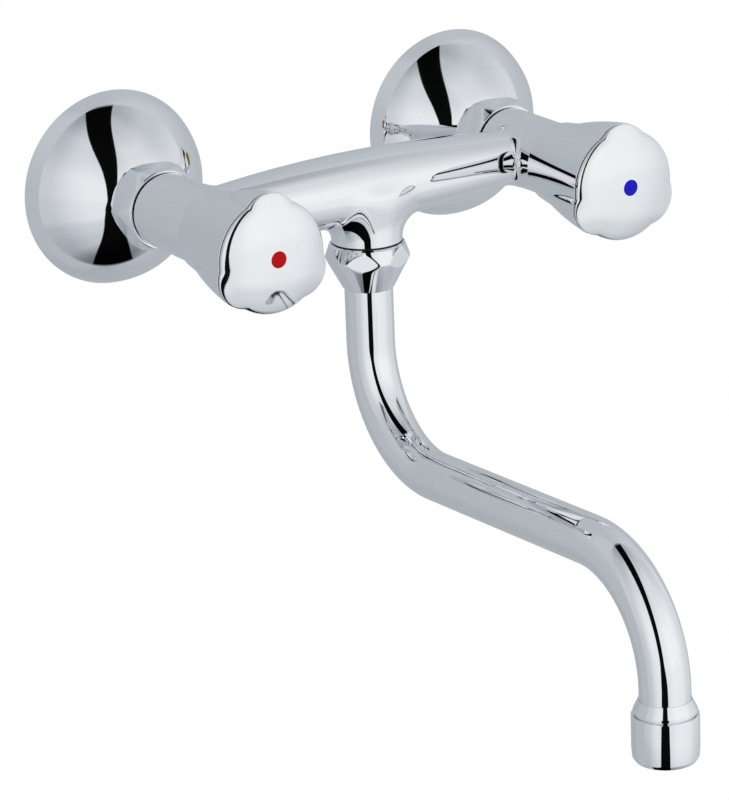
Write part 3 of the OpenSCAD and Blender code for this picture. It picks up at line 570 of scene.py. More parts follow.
def noise_node(tree, coordinates, scale, detail):
    """A noise texture on the given coordinates."""
    node = tree.nodes.new("ShaderNodeTexNoise")
    node.inputs["Scale"].default_value = scale
    node.inputs["Detail"].default_value = detail
    tree.links.new(coordinates, node.inputs["Vector"])
    return node.outputs["Fac"]


def math_node(tree, operation, first, second=None, third=None):
    """A math node whose inputs are sockets or numbers."""
    node = tree.nodes.new("ShaderNodeMath")
    node.operation = operation
    for socket, value in zip(node.inputs, (first, second, third)):
        if value is None:
            continue
        if isinstance(value, (int, float)):
            socket.default_value = value
        else:
            tree.links.new(value, socket)
    return node.outputs[0]


def map_range(tree, value, low, high, to_low, to_high):
    """A value carried from one range to another."""
    node = tree.nodes.new("ShaderNodeMapRange")
    for label, number in (("From Min", low), ("From Max", high), ("To Min", to_low), ("To Max", to_high)):
        node.inputs[label].default_value = number
    tree.links.new(value, node.inputs["Value"])
    return node.outputs["Result"]


def build_smudge_group():
    """Handling marks: patches where a surface is a little duller, with fine specks between them."""
    group, given, result = socket_group(
        "handling_marks",
        [("Base Roughness", "Float", 0.05), ("Patch Roughness", "Float", 0.1), ("Patch Scale", "Float", 22.0),
         ("Speck Amount", "Float", 0.2)],
        [("Roughness", "Float"), ("Height", "Float")])
    place = group.nodes.new("ShaderNodeTexCoord").outputs["Object"]
    patch = group.nodes.new("ShaderNodeTexNoise")
    patch.inputs["Detail"].default_value = 5.0
    patch.inputs["Distortion"].default_value = 0.8
    group.links.new(place, patch.inputs["Vector"])
    group.links.new(given.outputs["Patch Scale"], patch.inputs["Scale"])
    mask = map_range(group, patch.outputs["Fac"], 0.48, 0.72, 0.0, 1.0)
    specks = map_range(group, noise_node(group, place, 900.0, 2.0), 0.62, 0.8, 0.0, 1.0)
    specks = math_node(group, "MULTIPLY", specks, given.outputs["Speck Amount"])
    amount = math_node(group, "MAXIMUM", mask, specks)
    spread = math_node(group, "SUBTRACT", given.outputs["Patch Roughness"], given.outputs["Base Roughness"])
    rough = math_node(group, "MULTIPLY_ADD", amount, spread, given.outputs["Base Roughness"])
    group.links.new(rough, result.inputs["Roughness"])
    group.links.new(noise_node(group, place, 60.0, 2.0), result.inputs["Height"])
    return group


def build_turning_group():
    """Turning marks: fine rings along one axis, broken up a little, as a lathe leaves them."""
    group, given, result = socket_group(
        "turning_marks",
        [("Along", "Float", 0.0), ("Pitch", "Float", 0.0003), ("Strength", "Float", 0.5)],
        [("Height", "Float"), ("Tone", "Float")])
    ring = math_node(group, "DIVIDE", given.outputs["Along"], given.outputs["Pitch"])
    place = group.nodes.new("ShaderNodeTexCoord").outputs["Object"]
    drift = noise_node(group, place, 150.0, 3.0)
    ring = math_node(group, "MULTIPLY_ADD", drift, 0.6, ring)
    wave = math_node(group, "SINE", math_node(group, "MULTIPLY", ring, 2 * math.pi))
    group.links.new(math_node(group, "MULTIPLY", wave, given.outputs["Strength"]), result.inputs["Height"])
    tone = map_range(group, noise_node(group, place, 70.0, 5.0), 0.3, 0.7, 0.0, 1.0)
    group.links.new(tone, result.inputs["Tone"])
    return group


def new_material(name):
    """A new material with its node tree and its shader."""
    paint = bpy.data.materials.new(name)
    paint.use_nodes = True
    return paint, paint.node_tree, paint.node_tree.nodes["Principled BSDF"]


def use_group(tree, group, values=None, links=None):
    """Places a node group in a material with its own values and links."""
    node = tree.nodes.new("ShaderNodeGroup")
    node.node_tree = group
    for label, value in (values or {}).items():
        node.inputs[label].default_value = value
    for label, socket in (links or {}).items():
        tree.links.new(socket, node.inputs[label])
    return node


def add_bump(tree, shader, height, strength, distance):
    """Feeds a height to the shader's normal."""
    bump = tree.nodes.new("ShaderNodeBump")
    bump.inputs["Strength"].default_value = strength
    bump.inputs["Distance"].default_value = distance
    tree.links.new(height, bump.inputs["Height"])
    tree.links.new(bump.outputs["Normal"], shader.inputs["Normal"])


def mixed(tree, factor, first, second, blend="MIX"):
    """Two colours put together; each input is a socket or a plain value."""
    node = tree.nodes.new("ShaderNodeMix")
    node.data_type = "RGBA"
    node.blend_type = blend
    for label, value in (("Factor", factor), ("A", first), ("B", second)):
        if isinstance(value, bpy.types.NodeSocket):
            tree.links.new(value, node.inputs[label])
        else:
            node.inputs[label].default_value = value
    return node.outputs["Result"]


def darker(colour, share):
    """The colour multiplied by a share, with full cover."""
    return tuple(c * share for c in colour[:3]) + (1.0,)


def along_axis(tree, axis):
    """The object coordinate along X, Y or Z."""
    place = tree.nodes.new("ShaderNodeTexCoord").outputs["Object"]
    split = tree.nodes.new("ShaderNodeSeparateXYZ")
    tree.links.new(place, split.inputs["Vector"])
    return split.outputs[axis]


def chrome_material(groups, finish, name, rough):
    """Plating: a clean mirror with faint handling marks, and painted shade deep in the seams, where the gap
    attribute makes it near-black, dull and not metallic.
    """
    paint, tree, shader = new_material(name)
    marks = use_group(tree, groups["marks"], {"Base Roughness": rough, "Patch Roughness": rough + 0.025,
                                              "Patch Scale": 26.0, "Speck Amount": 0.1})
    add_bump(tree, shader, marks.outputs["Height"], 0.015, 0.0004)
    # Painted shade: the gap attribute marks the seam surfaces that get the near-black colour instead of real
    # shade.
    seam = tree.nodes.new("ShaderNodeAttribute")
    seam.attribute_name = "gap"
    gap = seam.outputs["Fac"]
    dull = math_node(tree, "MAXIMUM", marks.outputs["Roughness"], math_node(tree, "MULTIPLY", gap, 0.7))
    tree.links.new(dull, shader.inputs["Roughness"])
    tree.links.new(math_node(tree, "SUBTRACT", 1.0, gap), shader.inputs["Metallic"])
    colour = tuple(finish.chrome)
    plating = mixed(tree, marks.outputs["Height"], darker(colour, 0.985), colour)
    tree.links.new(mixed(tree, gap, plating, tuple(finish.gap)), shader.inputs["Base Color"])
    return paint


def metal_material(groups, name, colour, axis, pitch, rough):
    """Turned bare metal: rings across one axis, with a tone that drifts."""
    paint, tree, shader = new_material(name)
    shader.inputs["Metallic"].default_value = 1.0
    rings = use_group(tree, groups["turning"], {"Pitch": pitch, "Strength": 0.5},
                      {"Along": along_axis(tree, axis)})
    marks = use_group(tree, groups["marks"], {"Base Roughness": rough, "Patch Roughness": rough + 0.15,
                                              "Patch Scale": 60.0})
    tree.links.new(marks.outputs["Roughness"], shader.inputs["Roughness"])
    tone = mixed(tree, rings.outputs["Tone"], darker(colour, 0.8), tuple(colour))
    tree.links.new(tone, shader.inputs["Base Color"])
    add_bump(tree, shader, rings.outputs["Height"], 0.15, 0.00005)
    return paint


def moulded_material(groups, name, colour, rough, grain, gloss=0.5):
    """Moulded rubber, fibre or plastic: a fine grain with duller patches."""
    paint, tree, shader = new_material(name)
    shader.inputs["Specular IOR Level"].default_value = gloss
    marks = use_group(tree, groups["marks"], {"Base Roughness": rough, "Patch Roughness": rough + 0.12,
                                              "Patch Scale": 90.0})
    tree.links.new(marks.outputs["Roughness"], shader.inputs["Roughness"])
    place = tree.nodes.new("ShaderNodeTexCoord").outputs["Object"]
    fine = noise_node(tree, place, grain, 3.0)
    tone = mixed(tree, fine, darker(colour, 0.88), tuple(colour))
    tree.links.new(tone, shader.inputs["Base Color"])
    add_bump(tree, shader, fine, 0.12, 0.00008)
    return paint


def material(name):
    """A material that TAP_OT_materials has made."""
    return bpy.data.materials[name]


class TAP_OT_materials(bpy.types.Operator):
    """Makes the materials and puts them on the CAD pieces that stay visible"""

    bl_idname = "tap.materials"
    bl_label = "Materials"

    def execute(self, context):
        finish = context.scene.tap_finish
        groups = {"marks": build_smudge_group(), "turning": build_turning_group()}
        chrome_material(groups, finish, "tap_chrome", 0.02)
        chrome_material(groups, finish, "tap_cap_chrome", 0.07)
        metal_material(groups, "tap_brass_barrel", finish.brass, "Y", 0.0006, 0.22)
        metal_material(groups, "tap_brass_spout", finish.brass, "Z", 0.0006, 0.22)
        metal_material(groups, "tap_steel", finish.steel, "Y", 0.0004, 0.28)
        moulded_material(groups, "tap_rubber", finish.rubber, 0.55, 2500.0)
        moulded_material(groups, "tap_fibre", finish.fibre, 0.6, 1800.0)
        moulded_material(groups, "tap_plastic", finish.plastic, 0.32, 1200.0)
        moulded_material(groups, "tap_hot_mark", finish.hot, 0.3, 700.0, 0.06)
        moulded_material(groups, "tap_cold_mark", finish.cold, 0.3, 700.0, 0.06)
        by_slot = {"chrome": "tap_chrome", "steel": "tap_steel", "rubber": "tap_rubber", "fibre": "tap_fibre",
                   "white_plastic": "tap_plastic", "red_mark": "tap_hot_mark", "blue_mark": "tap_cold_mark"}
        for part in FRAME["record"]["subparts"]:
            node = part["node"]
            name = by_slot.get(part["material_slot"])
            if name is None:
                name = "tap_brass_spout" if node == "swivel_sleeve" else "tap_brass_barrel"
            piece = FRAME["nodes"][node]
            piece.data.materials.clear()
            piece.data.materials.append(material(name))
        return {"FINISHED"}


def fillet_union(first, second, radius):
    """Union of two distance fields, joined by a rolling ball of the given radius."""
    near = np.maximum(radius - first, 0)
    far = np.maximum(radius - second, 0)
    return np.maximum(radius, np.minimum(first, second)) - np.hypot(near, far)


class Casting:
    """The body's outside as a distance field, in millimetres from the middle of the bridge."""

    boss_top = 3.0

    def __init__(self, sizes):
        self.sizes = sizes
        half_span = PITCH / 2 - sizes.barrel_r
        sag = sizes.bridge_mid_r - sizes.bridge_end_r
        self.arc_r = (half_span ** 2 + sag ** 2) / (2 * sag)
        self.centre = np.array([0.0, SPOUT_Y, AXIS_Z])

    def field(self, points):
        """Bridge: inside an arc turned about X. Barrels and boss: cylinders. All joined by fillets."""
        s = self.sizes
        x, y, z = (points - self.centre).T
        off = np.hypot(y, z)
        bridge = np.hypot(x, off + self.arc_r - s.bridge_mid_r) - self.arc_r
        bridge = np.maximum(bridge, np.abs(x) - PITCH / 2 + 2)
        barrel = np.hypot(np.abs(x) - PITCH / 2, z) - s.barrel_r
        upward = (z / np.maximum(off, 1e-6)) ** 2
        rolling = s.barrel_fillet_side + (s.barrel_fillet_top - s.barrel_fillet_side) * upward
        whole = fillet_union(bridge, barrel, rolling)
        column = np.hypot(x, y) - s.boss_r
        top = z + self.boss_top
        boss = np.minimum(np.maximum(column, top), 0) + np.hypot(np.maximum(column, 0), np.maximum(top, 0))
        return fillet_union(whole, boss, s.boss_fillet)

    def normal(self, points):
        """Direction in which the field grows, from differences over a hundredth of a millimetre."""
        step = 0.01
        slope = np.empty_like(points)
        for k in range(3):
            shift = np.zeros(3)
            shift[k] = step
            slope[:, k] = self.field(points + shift) - self.field(points - shift)
        return unit(slope)

    def settle(self, points, rounds):
        """Moves points onto the surface along the field's direction."""
        for _ in range(rounds):
            move = self.field(points)[:, None] * self.normal(points)
            points = points - np.clip(move, -2.0, 2.0)
        return points


def plain_rod(axis, start, end, radius):
    """A closed rod between two places on an axis."""
    points, normals = rounded([(start, 0), (start, radius), (end, radius), (end, 0)])
    return turned(axis, points, normals, 64)


def plain_bridge(casting):
    """The bridge alone, as a closed solid of revolution."""
    x = np.linspace(-PITCH / 2, PITCH / 2, 60)
    radius = casting.sizes.bridge_mid_r - casting.arc_r + np.sqrt(casting.arc_r ** 2 - x ** 2)
    points, normals = rounded([(x[0], 0)] + list(zip(x, radius)) + [(x[-1], 0)])
    return turned(Axis(casting.centre, (1, 0, 0), (0, 0, 1)), points, normals, 64)


def remeshed(shells, voxel):
    """A mesh that is one even skin round several overlapping solids."""
    whole = merge(shells)
    mesh = bpy.data.meshes.new("casting_rough")
    mesh.from_pydata((whole.points * MM).tolist(), [], whole.quads.tolist() + whole.triangles.tolist())
    rough = bpy.data.objects.new("casting_rough", mesh)
    bpy.context.scene.collection.objects.link(rough)
    skin = rough.modifiers.new("skin", "REMESH")
    skin.mode = "VOXEL"
    skin.voxel_size = voxel * MM
    graph = bpy.context.evaluated_depsgraph_get()
    result = bpy.data.meshes.new_from_object(rough.evaluated_get(graph))
    bpy.data.objects.remove(rough)
    return result


def mesh_points(mesh):
    """A mesh's points as an array, in millimetres."""
    points = np.empty(len(mesh.vertices) * 3)
    mesh.vertices.foreach_get("co", points)
    return points.reshape(-1, 3) / MM


def even_out(points, edges, casting, rounds):
    """Slides points towards the middle of their neighbours and back onto the surface."""
    count = np.bincount(edges.ravel(), minlength=len(points))[:, None]
    for _ in range(rounds):
        total = np.zeros_like(points)
        np.add.at(total, edges[:, 0], points[edges[:, 1]])
        np.add.at(total, edges[:, 1], points[edges[:, 0]])
        points = points + 0.6 * (total / np.maximum(count, 1) - points)
        points = casting.settle(points, 2)
    return points


def cut_open(mesh, cuts):
    """Cuts the mesh on planes and drops what lies beyond.

    A cut is a point, a direction, and a test of which face centres it concerns.
    """
    work = bmesh.new()
    work.from_mesh(mesh)
    for point, direction, inside in cuts:
        near = [f for f in work.faces if inside(f.calc_center_median())]
        geometry = set(near)
        for face in near:
            geometry.update(face.edges)
            geometry.update(face.verts)
        bmesh.ops.bisect_plane(work, geom=list(geometry), plane_co=point, plane_no=direction,
                               clear_outer=True, dist=1e-7)
    work.to_mesh(mesh)
    work.free()


def on_open_edges(shell):
    """Which points of a shell lie on an edge that only one face has, as a mask."""
    edges = [np.stack([faces, np.roll(faces, -1, axis=1)], axis=-1).reshape(-1, 2)
             for faces in (shell.quads, shell.triangles)]
    pairs, times = np.unique(np.sort(np.vstack(edges), axis=1), axis=0, return_counts=True)
    mask = np.zeros(len(shell.points), bool)
    mask[pairs[times == 1]] = True
    return mask


def close_end(shell, axis, ring, corners):
    """Closes one open end: the ring's own angles carry a profile on inwards, to a pole."""
    offset = shell.points[ring] - axis.origin
    angle = np.arctan2(offset @ axis.side, offset @ axis.zero)
    order = np.argsort(angle)
    ring, angle = ring[order], angle[order]
    far = np.hypot(offset @ axis.zero, offset @ axis.side)
    start = (float(np.mean(offset @ axis.along)), float(np.mean(far)))
    points, normals = rounded([start] + corners)
    normals = normals * np.sign(corners[0][0] - start[0])
    rows = len(points) - 2
    along, radius = (points[1:-1, k:k + 1] + 0 * angle[None] for k in (0, 1))
    out_along, out_radial = (normals[1:-1, k:k + 1] + 0 * angle[None] for k in (0, 1))
    turn = angle[None] + 0 * along
    first = shell.add(axis.place(along, radius, turn).reshape(-1, 3),
                      axis.direct(out_along, out_radial, 0 * along, turn).reshape(-1, 3))
    columns = len(ring)
    numbers = np.vstack([ring[None], first + np.arange(rows * columns).reshape(rows, columns)])
    ahead = np.roll(numbers, -1, axis=1)
    quads = np.stack([numbers[:-1], numbers[1:], ahead[1:], ahead[:-1]], axis=-1).reshape(-1, 4)
    pole = shell.add((axis.origin + points[-1, 0] * axis.along)[None], (normals[-1, 0] * axis.along)[None])
    fans = fan_faces(numbers[-1], pole, True)
    probe = shell.points[quads[0]]
    facing = np.cross(probe[1] - probe[0], probe[3] - probe[0]) @ shell.normals[ring[0]]
    if facing < 0:
        quads = quads[:, ::-1]
        fans = fans[:, ::-1]
    shell.quads = np.vstack([shell.quads, quads])
    shell.triangles = np.vstack([shell.triangles, fans])


class TAP_OT_body(bpy.types.Operator):
    """Builds the casting: barrels, bridge and boss with rolled fillets, and its machined ends"""

    bl_idname = "tap.body"
    bl_label = "Body"

    margin = 1.2

    def skin(self, casting, back, front):
        """An even mesh of the casting's outside: rough solids, remeshed and settled on the field."""
        sizes = casting.sizes
        rough = [plain_bridge(casting)]
        rough += [plain_rod(barrel_axis(side), back - 3, front + 3, sizes.barrel_r) for side in SIDES]
        rough.append(plain_rod(spout_axis(), -sizes.boss_drop - 3, -1, sizes.boss_r))
        mesh = remeshed(rough, sizes.grain)
        edges = np.empty(len(mesh.edges) * 2, int)
        mesh.edges.foreach_get("vertices", edges)
        points = casting.settle(mesh_points(mesh), 6)
        points = even_out(points, edges.reshape(-1, 2), casting, 6)
        mesh.vertices.foreach_set("co", (points * MM).ravel())
        return mesh

    def trim(self, mesh, ends, shoulder):
        """Cuts the mesh on both barrels' ends, given as (place, way to keep), and on the boss's shoulder."""
        cuts = [(Vector((0, 0, shoulder * MM)), Vector((0, 0, -1)), lambda p: abs(p.x) < BARREL_X * MM)]
        for sign in SIDES.values():
            for place, way in ends:
                cuts.append((Vector((0, -place * MM, 0)), Vector((0, way, 0)),
                             lambda p, s=sign: p.x * s > BARREL_X * MM))
        cut_open(mesh, cuts)

    def shell_of(self, mesh, casting):
        """The mesh as a shell with the field's own normals, in quads and triangles."""
        polygons = [tuple(p.vertices) for p in mesh.polygons]
        quads = [p for p in polygons if len(p) == 4]
        triangles = [(p[0], p[i], p[i + 1]) for p in polygons if len(p) != 4 for i in range(1, len(p) - 1)]
        points = mesh_points(mesh)
        shell = Shell()
        shell.add(points, casting.normal(points), np.array(quads), np.array(triangles, int).reshape(-1, 3))
        return shell

    def inlet(self, s, back, flange):
        """Profile of a barrel's back: the spigot with its flange, and the bore."""
        root = flange + s.flange_w
        return [(back, s.barrel_r, s.edge), (back, s.spigot_r), (root, s.spigot_r), (root, s.flange_r),
                (flange, s.flange_r, 0.3), (flange, s.inlet_r, 0.3), (s.inlet_end, s.inlet_r, 0.3),
                (s.inlet_end, 0)]

    def mouth(self, s, front):
        """Profile of a barrel's front: recess, headwork thread, chamber and the seat with its hole."""
        step, thread_end = front - s.mouth_deep, front - s.headwork_deep
        return [(front, s.barrel_r, s.edge), (front, s.mouth_r, 0.3), (step, s.mouth_r, 0.1),
                (step, s.headwork_r), (thread_end, s.headwork_r), (thread_end, s.chamber_r),
                (s.chamber_end, s.chamber_r, 0.3), (s.chamber_end, s.seat_r), (s.seat_end, s.seat_r),
                (s.seat_end, s.port_r), (s.port_end, s.port_r), (s.port_end, 0)]

    def socket(self, s):
        """Profile of the boss's end: shoulder, thread for the spout nut, and the sleeve's bore."""
        low = -s.boss_drop
        step, thread_top = low - s.shoulder_step, low - s.nut_thread_h
        return [(low, s.boss_r, 0.6), (low, s.shoulder_r, 0.1), (step, s.shoulder_r, 0.1),
                (step, s.nut_thread_r, 0.1), (thread_top, s.nut_thread_r, 0.4), (thread_top, s.sleeve_r, 0.3),
                (-s.sleeve_top, s.sleeve_r, 0.3), (-s.sleeve_top, 0)]

    def seams(self, points, sizes, back, front):
        """1 on points between a barrel and its nut or knob, and between the boss and the spout nut, where
        shade is painted.
        """
        from_barrel = np.hypot(np.abs(points[:, 0]) - PITCH / 2, points[:, 2] - AXIS_Z)
        from_spout = np.hypot(points[:, 0], points[:, 1] - SPOUT_Y)
        out = -points[:, 1]
        ends = (out < back + 0.1) | (out > front - 0.1)
        shoulder = points[:, 2] < AXIS_Z - sizes.boss_drop + 0.1
        return (ends & (from_barrel < sizes.barrel_r - 0.3)
                | shoulder & (from_spout < sizes.boss_r - 0.3)).astype(float)

    def execute(self, context):
        sizes = sizes_of(context.scene.tap_body)
        casting = Casting(sizes)
        flange, front = from_wall("body")
        back = from_wall("cold_union_nut")[1] + sizes.nut_gap
        shoulder = AXIS_Z - sizes.boss_drop + self.margin
        ends = [(back + self.margin, 1), (front - self.margin, -1)]
        mesh = self.skin(casting, back, front)
        self.trim(mesh, ends, shoulder)
        shell = self.shell_of(mesh, casting)
        bpy.data.meshes.remove(mesh)
        points = shell.points
        loose = on_open_edges(shell)
        profiles = (self.inlet(sizes, back, flange), self.mouth(sizes, front))
        for side, sign in SIDES.items():
            mine = loose & (points[:, 0] * sign > BARREL_X)
            for (place, _), profile in zip(ends, profiles):
                ring = mine & (np.abs(points[:, 1] + place) < 0.3)
                close_end(shell, barrel_axis(side), np.nonzero(ring)[0], profile)
        ring = loose & (np.abs(points[:, 2] - shoulder) < 0.3) & (np.abs(points[:, 0]) < BARREL_X)
        close_end(shell, spout_axis(), np.nonzero(ring)[0], self.socket(sizes))
        make_piece("tap_body", shell, material("tap_chrome"), "tap", ["body"],
                   self.seams(shell.points, sizes, back, front))
        return {"FINISHED"}


class KnobForm:
    """Outline of a knob as a radius for each place along the axis and each angle."""

    soft_stretch = 12.0
    well_below = 6.0

    def __init__(self, sizes):
        self.sizes = sizes
        self.back, self.front = from_wall("cold_knob")

    def circle(self, along):
        """Radius of the plain skirt: a straight flare."""
        s = self.sizes
        return s.base_r + (s.front_r - s.base_r) * (along - self.back) / (self.front - self.back)

    def lobe(self, along):
        """Place and radius of a lobe's circle: a cone whose back swells along an arc."""
        s = self.sizes
        start = self.back + s.lobe_start
        share = np.clip((along - start) / (self.front - start), 0, 1.2)
        swell = 4 * s.lobe_bulge * share * (1 - share)
        centre = s.lobe_axis_back + (s.lobe_axis_front - s.lobe_axis_back) * share
        return centre, np.maximum(s.lobe_r * share + swell, 0)

    def outline(self, along, angle):
        """Soft maximum of the skirt's circle and the three lobes' circles, seen from the axis.

        Where a lobe isn't seen it counts as well below the skirt. The softness grows from a tenth to
        its full value over the first stretch of a lobe.
        """
        s = self.sizes
        radius = self.circle(along)
        centre, own = self.lobe(along)
        start = self.back + s.lobe_start
        soft = s.hollow * np.clip((along - start) / self.soft_stretch, 0.1, 1)
        for middle in (0.0, 2 * math.pi / 3, -2 * math.pi / 3):
            offset = (angle - middle + math.pi) % (2 * math.pi) - math.pi
            across = own ** 2 - (centre * np.sin(offset)) ** 2
            reach = centre * np.cos(offset) + np.sqrt(np.maximum(across, 0))
            seen = (across > 0) & (np.abs(offset) < math.pi / 2) & (along > start)
            past = np.where(seen, reach, radius - self.well_below)
            gap = past - radius
            radius = 0.5 * (past + radius + np.sqrt(gap * gap + soft * soft * 0.25))
        return radius


def lobed_rows(axis, along, radius, angle):
    """Grid points and numeric normals of a surface given by its radius over (along, angle)."""
    points = axis.place(along, radius, angle)
    down = np.gradient(points, axis=0)
    across = (np.roll(points, -1, axis=1) - np.roll(points, 1, axis=1)) / 2
    normals = unit(np.cross(down, across))
    outward = np.sum(normals * (points - axis.place(along, 0 * radius, angle)), axis=-1)
    return points, normals * np.where(np.median(outward) < 0, -1.0, 1.0)


def ring_rows(axis, angle, rows):
    """One closed ring from rows (along, radius) in order, the last joined to the first."""
    along, radius = (np.stack([row[k] + 0 * angle for row in rows]) for k in (0, 1))
    points, normals = lobed_rows(axis, along, radius, angle[None] + 0 * along)
    shell = Shell()
    faces = grid_faces(len(rows), len(angle), close_rows=True)
    shell.add(points.reshape(-1, 3), normals.reshape(-1, 3), faces)
    return shell.faces_out()


def stack_rows(axis, angle, rows, poles):
    """One closed shell from rows (along, radius, gap) in order, with a pole before and after them.

    Along and radius are one number for a round row, or one for each angle. Returns the shell and the
    mask of its points where seam shade is painted.
    """
    along, radius = (np.stack([row[k] + 0 * angle for row in rows]) for k in (0, 1))
    points, normals = lobed_rows(axis, along, radius, angle[None] + 0 * along)
    count, columns = len(rows), len(angle)
    marks = np.array([row[2] for row in rows], float)
    shell = Shell()
    shell.add(points.reshape(-1, 3), normals.reshape(-1, 3), grid_faces(count, columns))
    for (place, way), row, flip in zip(poles, (0, count - 1), (False, True)):
        number = shell.add((axis.origin + place * axis.along)[None], (way * axis.along)[None])
        ring = np.arange(columns) + row * columns
        shell.triangles = np.vstack([shell.triangles, fan_faces(ring, number, flip)])
    gap = np.append(np.repeat(marks, columns), (marks[0], marks[-1]))
    return shell.faces_out(), gap


class TAP_OT_knobs(bpy.types.Operator):
    """Builds both knobs, their domed caps and the coloured marks"""

    bl_idname = "tap.knobs"
    bl_label = "Knobs"

    angle = np.linspace(0, 2 * np.pi, 480, endpoint=False)

    def skirt(self, form, axis):
        """The flared skirt with its three lobes, hollow behind and in front of its web."""
        s = form.sizes
        back, front = form.back, form.front
        inner_r = s.base_r - s.wall
        base_r = s.base_r - s.edge
        web, floor = front - s.web_back, front - s.web_front
        # Rows marked 1 get painted shade: the web, the hollow behind it and the skirt's back face.
        rows = [(web, 2.0, 1), (web, inner_r + 3.0, 1), (web - 0.3, inner_r + 3.3, 1), (back + 2, inner_r, 1),
                (back + 0.2, inner_r, 1), (back, inner_r + 0.2, 1), (back, base_r - 0.15, 1),
                (back, base_r - 0.05, 0)]
        rows += self.rolled(form, back, -1)
        for place in np.linspace(back + s.edge, front - s.edge, 112)[1:-1]:
            rows.append((place, form.outline(place + 0 * self.angle, self.angle), 0))
        rows += self.rolled(form, front, 1)
        inner = form.outline(front + 0 * self.angle, self.angle) - s.edge
        rim = front - 0.03
        # Rows marked 1 get painted shade: the front face that the cap covers and the hollow in front of the
        # web.
        rows += [(front, inner - 0.05, 0), (rim, inner - 0.12, 1), (rim, s.hollow_r + 0.1, 1),
                 (front - 0.2, s.hollow_r, 1), (floor + 0.1, s.hollow_r, 1), (floor, s.hollow_r - 0.1, 1),
                 (floor, 2.0, 1)]
        return stack_rows(axis, self.angle, rows, [(web, -1.0), (floor, 1.0)])

    def rolled(self, form, end, way):
        """Rows of the small rounding at one end of the skirt, in order from back to front."""
        r = form.sizes.edge
        rows = []
        for bend in np.radians(np.linspace(0, 90, 6)):
            falls = [r * (1 - math.sin(bend)), r * (1 - math.cos(bend))]
            depth, inset = falls[::way]
            place = end - way * depth
            rows.append((place, form.outline(place + 0 * self.angle, self.angle) - inset, 0))
        return rows

    def cap(self, form, axis):
        """The domed cap: circles round its middle that take on the lobed outline towards the edge.

        With s the share of the way out, the radius is s times the mean of a plain circle and the
        outline, weighted by the twelfth power of s, and the height falls with (1 - s * s) to a power.
        The rows are crowded towards the edge, outside the dense share, and end at the mark.
        """
        sizes = form.sizes
        apex = from_wall("cold_knob_cap")[1]
        seam = form.front + 0.05
        edge = form.front + sizes.seam_w
        face = form.outline(form.front + 0 * self.angle, self.angle) - sizes.cap_inset
        deep = face - sizes.seam_depth
        # Rows marked 1 get painted shade: the cap's back and the undercut of its seam.
        rows = [(seam, 12.0, 1), (seam, 18.0, 1), (seam, deep - 0.1, 1), (seam + 0.1, deep, 1),
                (edge - 0.1, deep, 1), (edge - 0.02, deep + 0.08, 1), (edge, face - 0.3, 1),
                (edge, face - 0.2, 0), (edge + 0.03, face - 0.08, 0), (edge + 0.1, face - 0.01, 0),
                (edge + 0.5, face, 0)]
        base = edge + sizes.cap_lip
        dense, last = 0.86, 0.16
        shares = [*(1 - (1 - dense) * np.linspace(0, 1, 30) ** 2), *np.linspace(dense, last, 40)[1:]]
        mean = float(np.mean(face))
        for s in shares:
            height = (apex - base) * (1 - s * s) ** sizes.cap_power
            rows.append((base + height, s * (mean + (face - mean) * s ** 12), 0))
        pocket = sizes.dot_r + 0.04
        floor = apex - 1.05
        lip = base + (apex - base) * (1 - (pocket / mean) ** 2) ** sizes.cap_power
        # The pocket's wall and floor under the mark get painted shade.
        rows += [(lip, pocket + 0.05, 0), (lip - 0.02, pocket, 0), (floor + 0.05, pocket, 1),
                 (floor, pocket - 0.05, 1)]
        return stack_rows(axis, self.angle, rows, [(seam, -1.0), (floor, 1.0)])

    def mark(self, form, axis):
        """The coloured mark: a low dome set flush in the cap."""
        apex = from_wall("cold_knob_cap")[1]
        r = form.sizes.dot_r
        base = apex - 0.95
        dome = [(apex - 0.005 - 0.07 * (t / r) ** 2, t) for t in np.linspace(r - 0.05, 0, 10)]
        points, normals = rounded([(base, 0), (base, r, 0.05), (apex - 0.09, r, 0.03)] + dome)
        return turned(axis, points, normals, 64)

    def execute(self, context):
        form = KnobForm(sizes_of(context.scene.tap_knob))
        skirt_chrome, cap_chrome = material("tap_chrome"), material("tap_cap_chrome")
        for side, slot in (("hot", "red_mark"), ("cold", "blue_mark")):
            axis = barrel_axis(side)
            body = side + "_handle"
            skirt, gap = self.skirt(form, axis)
            make_piece(side + "_skirt", skirt, skirt_chrome, body, [side + "_knob"], gap)
            cap, gap = self.cap(form, axis)
            make_piece(side + "_cap", cap, cap_chrome, body, [side + "_knob_cap"], gap)
            make_piece(side + "_mark", self.mark(form, axis), material("tap_%s_mark" % side), body,
                       [side + "_dot"])
        return {"FINISHED"}


